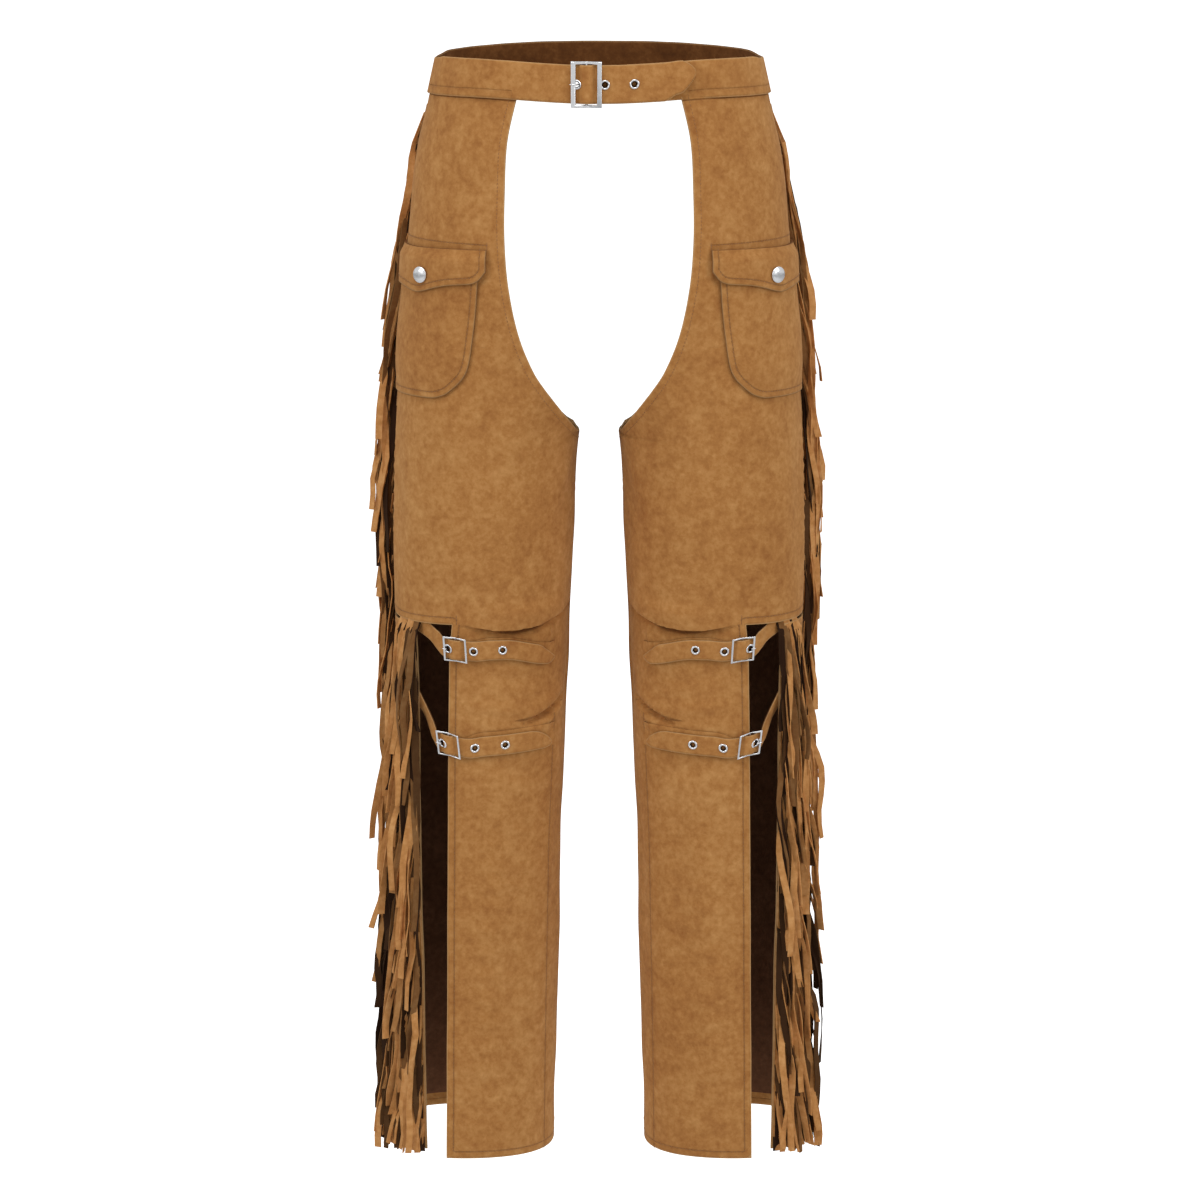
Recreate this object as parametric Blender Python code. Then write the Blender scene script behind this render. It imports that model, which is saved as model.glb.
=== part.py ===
"""A pair of fringed suede chaps, filled out as when worn, with nobody in them.

Two open-seated legs hang from one waistband, which ends in a belt tongue and a buckle at the front.
Each leg has a front panel and a back panel, a patch pocket with a snapped flap, a fringe along the
outer seam, and two buckled straps over the slit below the knee.

Metres, +Z up, the front faces -Y. The origin is the centre of the waist opening. A leg is described
once, by how far each point lies from the middle of the body (its reach), and mirrored by its side.
"""

import math

import bmesh
import bpy
from mathutils import Matrix, Vector

LEFT, RIGHT = -1, 1
SIDES = ((LEFT, "left"), (RIGHT, "right"))

# Cloth thicknesses
PANEL_WALL = 0.0015
BAND_WALL = 0.0022
POCKET_WALL = 0.0014
FLAP_WALL = 0.0018
STRAP_WALL = 0.0014
FRINGE_WALL = 0.0011
SEAM_GAP = 0.0003

# Waistband and hems
BAND_HEIGHT = 0.034
HEM_FRONT = -1.020
HEM_BACK = -1.012
CROTCH = -0.341
THIGH_HEM = -0.509
BACK_TOP = -0.511
SEAM_ANGLE = math.radians(184)

# Cross-section of a leg at each height: how far its outer and inner side lie from the middle of the
# body, and where its front and back are. Above the crotch the inner side is the other hip's.
SECTION_COLUMNS = ("z", "outer", "inner", "front", "back")
SECTIONS = (
    (0.020, 0.139, -0.139, -0.097, 0.097),
    (0.000, 0.1455, -0.1455, -0.100, 0.100),
    (-0.035, 0.1535, -0.1535, -0.102, 0.104),
    (-0.094, 0.167, -0.145, -0.106, 0.112),
    (-0.160, 0.1735, -0.100, -0.106, 0.117),
    (-0.212, 0.1775, -0.055, -0.102, 0.113),
    (-0.255, 0.182, -0.025, -0.098, 0.106),
    (-0.300, 0.185, 0.002, -0.094, 0.099),
    (-0.341, 0.187, 0.0175, -0.091, 0.092),
    (-0.437, 0.190, 0.0232, -0.086, 0.084),
    (-0.509, 0.189, 0.0267, -0.081, 0.079),
    (-0.600, 0.188, 0.031, -0.077, 0.076),
    (-0.740, 0.191, 0.0358, -0.075, 0.073),
    (-0.900, 0.199, 0.040, -0.073, 0.071),
    (-1.020, 0.205, 0.043, -0.071, 0.069),
)
ROUNDNESS = 2.35

# Edges of the open crotch and seat: reach of the panel's edge at each height
CUTOUT_COLUMNS = ("z", "front_edge", "back_edge")
CUTOUT = (
    (-0.031, 0.0725, 0.090),
    (-0.072, 0.0815, 0.095),
    (-0.120, 0.0840, 0.098),
    (-0.160, 0.0840, 0.099),
    (-0.200, 0.0803, 0.096),
    (-0.242, 0.0715, 0.089),
    (-0.275, 0.0584, 0.078),
    (-0.294, 0.0469, 0.0675),
    (-0.312, 0.0344, 0.0545),
    (-0.327, 0.0246, 0.0390),
    (-0.334, 0.0207, 0.0290),
    (-0.3385, 0.0185, 0.0215),
    (-0.341, 0.0175, 0.0175),
)

# Edges of the slit below the knee: the front panel's free edge and the back panel's
SLIT_COLUMNS = ("z", "front_free", "back_free")
SLIT = (
    (-0.508, 0.1340, 0.1680),
    (-0.540, 0.1365, 0.1665),
    (-0.720, 0.1395, 0.1650),
    (-1.020, 0.1430, 0.1610),
)

# Height of the waistband's top edge at the buckle, at the hips and at the middle of the back
BAND_TOP = (-0.0017, 0.0029, 0.0097)

# Heights of the rows of each panel. The first lies against the waistband.
FRONT_ROWS = (
    -0.0345, -0.072, -0.115, -0.160, -0.200, -0.232, -0.258, -0.280, -0.300, -0.316, -0.327,
    -0.334, -0.3385, CROTCH, -0.370, -0.420, -0.470, THIGH_HEM, -0.5135, -0.545, -0.590, -0.650,
    -0.740, -0.840, -0.930, HEM_FRONT,
)
BACK_ROWS = (
    -0.0345, -0.072, -0.115, -0.160, -0.200, -0.232, -0.258, -0.280, -0.300, -0.316, -0.327,
    -0.334, -0.3385, CROTCH, -0.370, -0.420, -0.470, BACK_TOP, -0.570, -0.650, -0.740, -0.840,
    -0.930, HEM_BACK,
)
FRONT_COLUMNS = (6, 5)
BACK_COLUMNS = (4, 9)

# Knee fold: the bulge of the thigh hangs over the stretch that the upper strap pulls in
FOLD_TOP = -0.5095
FOLD_DEPTH = 0.0050
FOLD_REACH = (0.030, 0.055, 0.098, 0.131)
FOLD_FADE = (-0.540, -0.650)


def smooth(t):
    """0 to 1 with level ends."""
    t = min(1.0, max(0.0, t))
    return t * t * (3 - 2 * t)


def lookup(table, columns, name, z):
    """A table's column at height z, on a smooth curve through its rows."""
    k = columns.index(name)
    rows = [(row[0], row[k]) for row in table]
    if z >= rows[0][0]:
        return rows[0][1]
    if z <= rows[-1][0]:
        return rows[-1][1]
    i = next(i for i in range(len(rows) - 1) if rows[i + 1][0] <= z)
    before, after = max(i - 1, 0), min(i + 2, len(rows) - 1)
    (z0, v0), (z1, v1) = rows[i], rows[i + 1]
    span = z1 - z0
    t = (z - z0) / span
    slope0 = (v1 - rows[before][1]) / (z1 - rows[before][0])
    slope1 = (rows[after][1] - v0) / (rows[after][0] - z0)
    h00, h10 = 2 * t**3 - 3 * t**2 + 1, t**3 - 2 * t**2 + t
    h01, h11 = -2 * t**3 + 3 * t**2, t**3 - t**2
    return h00 * v0 + h10 * span * slope0 + h01 * v1 + h11 * span * slope1


def section(z):
    """Middle reach, middle depth, half width and half depth of the leg's section at z."""
    outer, inner, front, back = (
        lookup(SECTIONS, SECTION_COLUMNS, name, z) for name in SECTION_COLUMNS[1:]
    )
    return (outer + inner) / 2, (front + back) / 2, (outer - inner) / 2, (back - front) / 2


def band_rise(x, y):
    """Height of the waistband's top edge: it dips at the buckle and rises at the back."""
    front, hips, back = BAND_TOP
    if y > 0:
        return hips + (back - hips) * (y / 0.100) ** 1.9
    return front + (hips - front) * smooth((abs(x) - 0.005) / 0.115)


def knee_fold(z, reach):
    """How far the front is drawn in under the knee fold."""
    start, full, full_end, end = FOLD_REACH
    across = smooth((reach - start) / (full - start)) * smooth((end - reach) / (end - full_end))
    along = smooth((FOLD_TOP - z) / 0.004) * smooth((z - FOLD_FADE[1]) / (FOLD_FADE[0] - FOLD_FADE[1]))
    return FOLD_DEPTH * across * along


def signed_power(value, power):
    return math.copysign(abs(value) ** power, value)


def leg_point(side, z, angle, lift=0.0):
    """A point of the leg's outer face, moved out by lift. The angle runs from the inner side (0)
    over the front to the outer side (pi) and the back."""
    reach_mid, y_mid, half_width, half_depth = section(z)
    u = -signed_power(math.cos(angle), 2 / ROUNDNESS)
    v = -signed_power(math.sin(angle), 2 / ROUNDNESS)
    reach, y = reach_mid + half_width * u, y_mid + half_depth * v
    out = Vector((
        signed_power(u, ROUNDNESS - 1) / half_width,
        signed_power(v, ROUNDNESS - 1) / half_depth,
    )).normalized()
    if math.sin(angle) > 0:
        lift -= knee_fold(z, reach)
    return Vector((side * (reach + lift * out.x), y + lift * out.y, z))


def angle_at(z, reach, back=False):
    """The angle at which the section at z has that reach, on the front or the back."""
    reach_mid, _, half_width, _ = section(z)
    u = max(-1.0, min(1.0, (reach_mid - reach) / half_width))
    angle = math.acos(signed_power(u, ROUNDNESS / 2))
    return 2 * math.pi - angle if back else angle


def on_front(side, reach, z, lift=0.0):
    """A point on the front of the leg at that reach and height."""
    return leg_point(side, z, angle_at(z, reach), lift)


def hung(z, point):
    """The point with its height carried by the waistband's edge, less so the lower it lies."""
    share = smooth((z + 0.180) / 0.145)
    return point + Vector((0, 0, band_rise(point.x, point.y) * share))


# Materials


def finish(name, colour, roughness, metallic=0.0):
    material = bpy.data.materials.new(name)
    material.use_nodes = True
    shader = material.node_tree.nodes["Principled BSDF"]
    shader.inputs["Base Color"].default_value = (*colour, 1)
    shader.inputs["Roughness"].default_value = roughness
    shader.inputs["Metallic"].default_value = metallic
    return material


def suede():
    return finish("tan suede", (0.41, 0.20, 0.07), 0.95)


def dark_suede():
    return finish("shaded suede", (0.12, 0.055, 0.02), 0.95)


def bright_metal():
    return finish("bright metal", (0.80, 0.80, 0.80), 0.22, 1.0)


# Solids


def add_object(name, mesh_tool, material, round_shading=True):
    """Makes an object of a bmesh with its faces pointing out."""
    bmesh.ops.recalc_face_normals(mesh_tool, faces=mesh_tool.faces)
    if mesh_tool.calc_volume(signed=True) < 0:
        bmesh.ops.reverse_faces(mesh_tool, faces=mesh_tool.faces)
    mesh = bpy.data.meshes.new(name)
    mesh_tool.to_mesh(mesh)
    mesh_tool.free()
    mesh.materials.append(material)
    if round_shading:
        mesh.shade_smooth()
        mesh.set_sharp_from_angle(angle=math.radians(40))
    made = bpy.data.objects.new(name, mesh)
    bpy.context.scene.collection.objects.link(made)
    return made


def wall(name, place, rows, columns, thickness, material, keep=None):
    """A closed wall over a grid. place(row, column, lift) gives the points, and keep(row, column)
    says which cells are cloth."""
    mesh_tool = bmesh.new()
    points = {}

    def point(row, column, layer):
        key = (row, column, layer)
        if key not in points:
            points[key] = mesh_tool.verts.new(place(row, column, -layer * thickness))
        return points[key]

    def cloth(row, column):
        inside = 0 <= row < rows and 0 <= column < columns
        return inside and (keep is None or keep(row, column))

    for row in range(rows):
        for column in range(columns):
            if not cloth(row, column):
                continue
            corners = ((row, column), (row, column + 1), (row + 1, column + 1), (row + 1, column))
            neighbours = ((row - 1, column), (row, column + 1), (row + 1, column), (row, column - 1))
            outer = [point(*c, 0) for c in corners]
            inner = [point(*c, 1) for c in corners]
            short = (outer[0].co - outer[2].co).length <= (outer[1].co - outer[3].co).length
            for a, b, c in ((0, 1, 2), (0, 2, 3)) if short else ((1, 2, 3), (1, 3, 0)):
                mesh_tool.faces.new((outer[a], outer[b], outer[c]))
                mesh_tool.faces.new((inner[c], inner[b], inner[a]))
            for k, neighbour in enumerate(neighbours):
                if not cloth(*neighbour):
                    a, b = corners[k], corners[(k + 1) % 4]
                    mesh_tool.faces.new((point(*b, 0), point(*a, 0), point(*a, 1), point(*b, 1)))
    return add_object(name, mesh_tool, material)


def sweep(name, rings, material, closed=False):
    """A solid through rings of points, capped at its ends unless the rings close on themselves."""
    mesh_tool = bmesh.new()
    made = [[mesh_tool.verts.new(p) for p in ring] for ring in rings]
    pairs = list(zip(made, made[1:])) + ([(made[-1], made[0])] if closed else [])
    for near, far in pairs:
        for k in range(len(near)):
            after = (k + 1) % len(near)
            mesh_tool.faces.new((near[k], near[after], far[after], far[k]))
    if not closed:
        mesh_tool.faces.new(made[0])
        mesh_tool.faces.new(made[-1])
    return add_object(name, mesh_tool, material)


def cut(target, cutter):
    """Takes the cutter's shape out of the target."""
    cutter.hide_render = True
    cutter.display_type = "WIRE"
    step = target.modifiers.new(cutter.name, "BOOLEAN")
    step.operation = "DIFFERENCE"
    step.solver = "EXACT"
    step.object = cutter


# Panels


def spread(ends, share):
    return ends[0] + (ends[1] - ends[0]) * share


def front_angle(z, column):
    """Angle of a column of the front panel: from its inner edge to the slit, then to the seam."""
    free = angle_at(z, lookup(SLIT, SLIT_COLUMNS, "front_free", z))
    inner = 0.0
    if z > CROTCH:
        inner = angle_at(z, lookup(CUTOUT, CUTOUT_COLUMNS, "front_edge", z))
    first, second = FRONT_COLUMNS
    if column <= first:
        return spread((inner, free), column / first)
    return spread((free, SEAM_ANGLE), (column - first) / second)


def back_angle(z, column):
    """Angle of a column of the back panel: from the slit to the seam, then to its inner edge."""
    free = angle_at(z, lookup(SLIT, SLIT_COLUMNS, "back_free", z))
    inner = 2 * math.pi
    if z > CROTCH:
        inner = angle_at(z, lookup(CUTOUT, CUTOUT_COLUMNS, "back_edge", z), back=True)
    first, second = BACK_COLUMNS
    seam = SEAM_ANGLE + SEAM_GAP / section(z)[3]
    if column <= first:
        return spread((free, seam), column / first)
    return spread((seam, inner - SEAM_GAP / section(z)[3]), (column - first) / second)


def front_panel(side, label):
    """Thigh and shin front in one piece, its shin part narrowed by the slit."""
    first, second = FRONT_COLUMNS
    hem_row = FRONT_ROWS.index(THIGH_HEM)

    def place(row, column, lift):
        z = FRONT_ROWS[row]
        return hung(z, leg_point(side, z, front_angle(z, column), lift))

    wall(
        f"front_panel_{label}", place, len(FRONT_ROWS) - 1, first + second, PANEL_WALL, suede(),
        keep=lambda row, column: column < first or row < hem_row,
    )


def back_panel(side, label):
    """From the outer seam round the back to the inner seam, and below the thigh forward to the slit."""
    first, second = BACK_COLUMNS
    hem_row = BACK_ROWS.index(BACK_TOP)

    def place(row, column, lift):
        z = BACK_ROWS[row]
        return hung(z, leg_point(side, z, back_angle(z, column), lift))

    wall(
        f"back_panel_{label}", place, len(BACK_ROWS) - 1, first + second, PANEL_WALL, dark_suede(),
        keep=lambda row, column: column >= first or row >= hem_row,
    )


# Pocket and flap


# Both end at the outer seam. The pocket's inner edge at each height, its lower corner slanted
SIDE_EDGE = math.radians(182.5)
POCKET_COLUMNS = ("z", "inner")
POCKET = (
    (-0.1770, 0.1060), (-0.2000, 0.1078), (-0.2200, 0.1095), (-0.2450, 0.1125), (-0.2700, 0.1165),
    (-0.2810, 0.1215), (-0.2910, 0.1310), (-0.2970, 0.1390), (-0.3000, 0.1480),
)
POCKET_ACROSS = 9
POCKET_PUFF = 0.0025
LAYER_GAP = 0.0008

# The flap from its inner end (share 0) to the seam (1), with a blunt point under the snap
FLAP_INNER = 0.0997
FLAP_COLUMNS = ("share", "top", "bottom")
FLAP = (
    (0.000, -0.1648, -0.1830), (0.030, -0.1650, -0.1915), (0.085, -0.1650, -0.1958),
    (0.160, -0.1651, -0.1965), (0.250, -0.1652, -0.1978), (0.340, -0.1654, -0.2005),
    (0.430, -0.1656, -0.2040), (0.500, -0.1658, -0.2058), (0.570, -0.1660, -0.2050),
    (0.660, -0.1661, -0.2030), (0.750, -0.1662, -0.2018), (0.840, -0.1663, -0.2010),
    (0.920, -0.1664, -0.2005), (1.000, -0.1664, -0.2000),
)
FLAP_DOWN = 4
FLAP_FOLD = 0.0105
SNAP_Z, SNAP_RADIUS, SNAP_HEIGHT = -0.1896, 0.0073, 0.0024
SNAP_REACH = 0.1532
SNAP_TURN = math.radians(13)


def pocket_lift(z, angle):
    """The pocket lies on the panel at its seams and stands a little off between them."""
    inner = angle_at(z, lookup(POCKET, POCKET_COLUMNS, "inner", z))
    share = (angle - inner) / (SIDE_EDGE - inner)
    across = smooth(share / 0.20) * smooth((1 - share) / 0.20)
    return LAYER_GAP + POCKET_WALL + POCKET_PUFF * across * smooth((z + 0.300) / 0.030)


def pocket(side, label):
    def place(row, column, lift):
        z, inner = POCKET[row]
        angle = spread((angle_at(z, inner), SIDE_EDGE), column / POCKET_ACROSS)
        return leg_point(side, z, angle, pocket_lift(z, angle) + lift)

    wall(f"pocket_{label}", place, len(POCKET) - 1, POCKET_ACROSS, POCKET_WALL, suede())


def flap_point(side, z, top, angle, lift):
    """A point of the flap: sewn down along its top, then over the pocket's puffed face."""
    over_pocket = pocket_lift(z, angle) + LAYER_GAP + FLAP_WALL
    sewn = LAYER_GAP + FLAP_WALL
    return leg_point(side, z, angle, spread((sewn, over_pocket), smooth((top - z) / FLAP_FOLD)) + lift)


def flap(side, label):
    def place(row, column, lift):
        share, top, bottom = FLAP[row]
        z = top
        if column:
            z = spread((top - FLAP_FOLD, bottom), (column - 1) / (FLAP_DOWN - 1))
        angle = spread((angle_at(z, FLAP_INNER), SIDE_EDGE), share)
        return flap_point(side, z, top, angle, lift)

    wall(f"flap_{label}", place, len(FLAP) - 1, FLAP_DOWN, FLAP_WALL, suede())


def snap(side, label):
    """Domed cap of the snap, standing on the flap and turned a little to the front."""
    angle = angle_at(SNAP_Z, SNAP_REACH)
    top = FLAP[0][1]
    middle = flap_point(side, SNAP_Z, top, angle, 2 * SEAM_GAP)
    out = (flap_point(side, SNAP_Z, top, angle, 0.002) - middle).normalized()
    rings = []
    for share, height, turned in ((1.0, 0.0, 0), (1.0, 0.35, 1), (0.80, 0.80, 1), (0.35, 1.0, 1)):
        facing = Matrix.Rotation(-side * SNAP_TURN * turned, 3, "Z") @ out
        across = Vector((0, 0, 1)).cross(facing).normalized()
        up = facing.cross(across)
        raised = middle + out * (SNAP_RADIUS * math.sin(SNAP_TURN) * turned)
        rings.append([
            raised + facing * (SNAP_HEIGHT * height)
            + (across * math.cos(turn) + up * math.sin(turn)) * (SNAP_RADIUS * share)
            for turn in (2 * math.pi * k / 14 for k in range(14))
        ])
    sweep(f"snap_{label}", rings, bright_metal())


# Fringe


# Each strip: the heights of its ends, its number of strands, and how far along the cloth the strands
# of its columns have fanned at their ends
FRINGES = {
    "thigh": {"top": -0.046, "end": -0.508, "strands": 40, "fan": (-0.0005, 0.0075, 0.0155)},
    "shin": {"top": -0.517, "end": -1.000, "strands": 42, "fan": (-0.003, 0.011, 0.025)},
}
FRINGE_WIDTH = 0.0096
FRINGE_COLUMNS = 3
STRAND_LENGTH, STRAND_WIDTH = 0.190, 0.0046
STRAND_DRIFT = 0.080
SHORTEST_STRAND = 0.012


def fringe_start(z, height):
    """Angle of a strip's front edge: behind the outer seam on the thigh, along the slit below it."""
    if height == "thigh":
        return SEAM_ANGLE + 0.0015 / section(z)[3]
    return angle_at(z, lookup(SLIT, SLIT_COLUMNS, "back_free", z)) + 0.0010 / section(z)[3]


def beside(side, z, angle, along, lift):
    """A point on the leg, along the cloth from the one at that angle."""
    step = 0.002
    stride = leg_point(side, z, angle + step) - leg_point(side, z, angle)
    return leg_point(side, z, angle + along * step / stride.length, lift)


def fringe(side, label, height):
    """A strip sewn to the back panel, with one strand grown from a cell of every row."""
    spec = FRINGES[height]
    mesh_tool = bmesh.new()
    rows = spec["strands"]
    heights = [spread((spec["top"], spec["end"]), k / rows) for k in range(rows + 1)]
    cell = FRINGE_WIDTH / FRINGE_COLUMNS

    def strip_point(z, along, layer):
        lift = SEAM_GAP + (1 - layer) * FRINGE_WALL
        return mesh_tool.verts.new(hung(z, beside(side, z, fringe_start(z, height), along, lift)))

    outer = [[strip_point(z, cell * c, 0) for c in range(FRINGE_COLUMNS + 1)] for z in heights]
    inner = [[strip_point(z, along, 1) for along in (0, FRINGE_WIDTH)] for z in heights]
    for k in range(rows):
        low = k + 1
        mesh_tool.faces.new((inner[k][0], inner[k][1], inner[low][1], inner[low][0]))
        mesh_tool.faces.new((outer[k][0], inner[k][0], inner[low][0], outer[low][0]))
        mesh_tool.faces.new((inner[k][1], outer[k][-1], outer[low][-1], inner[low][1]))
        grown = k % FRINGE_COLUMNS
        for c in range(FRINGE_COLUMNS):
            root = [outer[k][c], outer[k][c + 1], outer[low][c + 1], outer[low][c]]
            if c != grown:
                mesh_tool.faces.new(root)
                continue
            end = [mesh_tool.verts.new(p) for p in strand_end(side, height, heights[low], c, k)]
            for i in range(4):
                after = (i + 1) % 4
                mesh_tool.faces.new((root[i], root[after], end[after], end[i]))
            mesh_tool.faces.new(end)
    for end in (0, rows):
        mesh_tool.faces.new((*outer[end], inner[end][1], inner[end][0]))
    add_object(f"fringe_{height}_{label}", mesh_tool, suede())


def strand_end(side, height, root_z, column, k):
    """Corners of a strand's square-cut end. Lengths and fan are uneven by the strand's number, and
    the lowest strands end at the hem."""
    length = STRAND_LENGTH + 0.012 * math.sin(2.3 * k) + 0.006 * math.sin(5.1 * k + 1)
    room = root_z - HEM_FRONT - 0.004
    drop = max(min(length, room - 0.006 * (1 + math.sin(2.9 * k))), SHORTEST_STRAND)
    middle = FRINGES[height]["fan"][column] + 0.0012 * math.sin(1.7 * k)
    middle = spread((FRINGE_WIDTH * (column + 0.5) / FRINGE_COLUMNS, middle), drop / STRAND_LENGTH)
    half = STRAND_WIDTH / 2 * min(1.0, 0.7 + 0.3 * drop / STRAND_LENGTH)
    near = SEAM_GAP + FRINGE_WALL + 0.0005 + STRAND_DRIFT * drop
    far = near + FRINGE_WALL
    angle = fringe_start(root_z, height)
    z = root_z - drop
    return [
        beside(side, z, angle, middle + offset, lift)
        for offset, lift in ((-half, far), (half, far), (half, near), (-half, near))
    ]


# Straps, tabs, buckles and eyelets. Each set is laid out on a strip of the garment by a function
# place(u, v, d): u runs towards the strap's tip, v up across it and d out from the cloth.


EYELET_SEGMENTS = 10
BELT_FITTINGS = {
    "frame": (0.0272, 0.0404), "side_bar": 0.0043, "rail": 0.0027, "bar_level": 0.0034,
    "bar_thick": 0.0026, "centre_level": -0.0002, "centre_radius": 0.0009, "strap": BAND_WALL,
    "base": 0.0002, "rise": 0.0027, "tab": 0.0009, "tab_width": 0.0300, "tab_length": 0.0355,
    "tab_offset": 0.0, "prong": 0.0007, "eyelets": (-0.0089, 0.0163, 0.0421),
    "eyelet": (0.0022, 0.0027, 0.0044),
}
LEG_FITTINGS = {
    "frame": (0.0202, 0.0228), "side_bar": 0.0018, "rail": 0.0016, "bar_level": 0.0042,
    "bar_thick": 0.0019, "centre_level": 0.0024, "centre_radius": 0.0006, "strap": STRAP_WALL,
    "base": 0.0018, "rise": 0.0030, "tab": 0.0007, "tab_width": 0.0180, "prong": 0.0005,
    "eyelet": (0.0019, 0.0024, 0.0042),
}


def strap_level(fittings, u):
    """Inner face of a strap near its buckle: under the side bars and over the centre bar."""
    flat = fittings["frame"][0] / 2 - fittings["side_bar"]
    crest = 2.6 * fittings["centre_radius"] + fittings["tab"]
    return fittings["base"] + fittings["rise"] * smooth((flat - 0.0018 - abs(u)) / (flat - 0.0018 - crest))


def buckle(name, place, fittings):
    """A frame bowed back to its centre bar."""
    length, height = fittings["frame"]
    side_bar, rail, centre = fittings["side_bar"], fittings["rail"], fittings["centre_radius"]
    u_lines = (-length / 2, -length / 2 + side_bar, -centre, centre, length / 2 - side_bar, length / 2)
    v_lines = (-height / 2, -height / 2 + rail, height / 2 - rail, height / 2)
    proud = fittings["bar_level"] + fittings["bar_thick"]
    sunk = fittings["centre_level"] + centre
    tops = (proud, proud, sunk, sunk, proud, proud)

    def at(row, column, lift):
        depth = 2 * centre if row in (2, 3) else fittings["bar_thick"]
        return place(u_lines[row], v_lines[column], tops[row] + lift * depth)

    wall(
        name, at, 5, 3, 1.0, bright_metal(),
        keep=lambda row, column: column != 1 or row in (0, 2, 4),
    )


def bent(place, route, v, lift):
    """Points along a route of (u, d), moved to the route's left by lift."""
    points = []
    for i, (u, d) in enumerate(route):
        before, after = route[max(i - 1, 0)], route[min(i + 1, len(route) - 1)]
        along = Vector((after[0] - before[0], after[1] - before[1])).normalized()
        points.append(place(u - along.y * lift, v, d + along.x * lift))
    return points


def prong(name, place, fittings):
    """A wire looped round the centre bar, up through the eyelet and over the far side bar."""
    level, wire = fittings["centre_level"], fittings["prong"]
    half = fittings["frame"][0] / 2
    loop = 1.45 * fittings["centre_radius"] + SEAM_GAP + wire
    rest = fittings["bar_level"] + fittings["bar_thick"] + SEAM_GAP + wire
    eyelet_edge = fittings["eyelets"][0] - fittings["eyelet"][0]
    up = max(eyelet_edge, fittings["side_bar"] - half) + wire + SEAM_GAP
    low = level - loop
    route = [
        (loop * math.cos(turn), level + loop * math.sin(turn))
        for turn in (math.radians(a) for a in (110, 60, 10, -40, -90))
    ]
    route += [
        (up + 0.0016, low + 0.0001), (up + 0.0003, low + 0.0012), (up, fittings["bar_level"]),
        (up, rest - 0.0006), (up - 0.0006, rest), (wire - half, rest), (-half - 0.0006, rest - 0.0004),
    ]
    turns = [2 * math.pi * k / 5 for k in range(5)]
    lines = [bent(place, route, wire * math.cos(turn), wire * math.sin(turn)) for turn in turns]
    sweep(name, list(zip(*lines)), bright_metal())


TAB_SHARES = (1.0, 0.94, 0.87, 0.79, 0.68, 0.52, 0.30, 0.10)


def tab(name, place, fittings):
    """The strip that holds the buckle: under the strap, round the centre bar and back over it, with
    a slot for the prong."""
    level, thick = fittings["centre_level"], fittings["tab"]
    wrap = 1.45 * fittings["centre_radius"] + SEAM_GAP + thick
    low = level - wrap
    flat = max(low, 2 * SEAM_GAP) if low > 0 else low
    length, half = fittings["tab_length"], fittings["tab_width"] / 2
    slot = fittings["prong"] + SEAM_GAP
    route = [(length * share, flat) for share in TAB_SHARES]
    route += [
        (wrap * math.cos(turn), level + wrap * math.sin(turn))
        for turn in (math.radians(a) for a in (-90, -135, -180, -225, -270, -315, -340))
    ]
    slot_rows = range(len(TAB_SHARES) - 2, len(route) - 1)

    def at(row, column, lift):
        u = route[row][0]
        rise = fittings["tab_offset"] * smooth((u - 0.011) / 0.015)
        v = (-half, -slot, slot, half + rise)[column]
        return bent(place, route, v, lift)[row]

    wall(
        name, at, len(route) - 1, 3, thick, suede(),
        keep=lambda row, column: column != 1 or row not in slot_rows,
    )


def eyelet_ring(place, fittings, u0, radius, height):
    """A ring of points round an eyelet, above its strap's outer face."""
    ring = []
    for k in range(EYELET_SEGMENTS):
        turn = 2 * math.pi * k / EYELET_SEGMENTS
        u, v = u0 + radius * math.cos(turn), radius * math.sin(turn)
        ring.append(place(u, v, strap_level(fittings, u) + fittings["strap"] + height))
    return ring


def eyelets(strap, name, place, fittings):
    """Flanged tubes set into holes through the strap."""
    bore, barrel, flange = fittings["eyelet"]
    below = -fittings["strap"] - 0.0004
    profile = ((bore, below), (barrel, below), (barrel, SEAM_GAP), (flange, SEAM_GAP), (bore, 0.0009))
    for k, u in enumerate(fittings["eyelets"]):
        ends = (below - 0.0025, 0.0030)
        hole = [eyelet_ring(place, fittings, u, barrel + SEAM_GAP, height) for height in ends]
        cut(strap, sweep(f"hole_{name}_{k + 1}", hole, bright_metal()))
        lines = [eyelet_ring(place, fittings, u, radius, height) for radius, height in profile]
        sweep(f"{name}_{k + 1}", list(zip(*lines)), bright_metal(), closed=True)


def strip(name, rows, material):
    """A strap through rows of its outer face's points and its inner face's, each top then bottom."""
    rings = [(outer[0], outer[1], inner[1], inner[0]) for outer, inner in rows]
    return sweep(name, rings, material)


def level_row(place, fittings, u, top, bottom, sink=0.0):
    """A strap's row between two heights across it."""
    level = strap_level(fittings, u) + sink
    return [[place(u, v, level + face) for v in (top, bottom)] for face in (fittings["strap"], 0.0)]


# Belt


BUCKLE_X, BUCKLE_DROP = -0.0110, 0.0172
TONGUE_TIP = (
    (0.0945, -0.0090, -0.0120), (0.0918, -0.0045, -0.0180), (0.0868, -0.0008, -0.0245),
    (0.0835, 0.0008, -0.0275), (0.0780, 0.0008, -0.0290),
)
TONGUE_LIFT = 0.0035
BAND_STATIONS = 34
UNDERLAP_X = 0.0260
UNDERLAP_SINK = 0.0028


def belt_point(angle, v, lift):
    """A point of the waistband, v below its top edge."""
    point = leg_point(LEFT, v, angle, lift)
    return point + Vector((0, 0, band_rise(point.x, point.y)))


def belt_place(u, v, d):
    """Round the belt buckle: u to the right of its centre bar, v above its middle. The tongue's
    end stands off the band."""
    z = v - BUCKLE_DROP
    lift = TONGUE_LIFT * smooth((u - 0.045) / 0.050)
    return belt_point(angle_at(z, -(BUCKLE_X + u)), z, d + lift)


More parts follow.
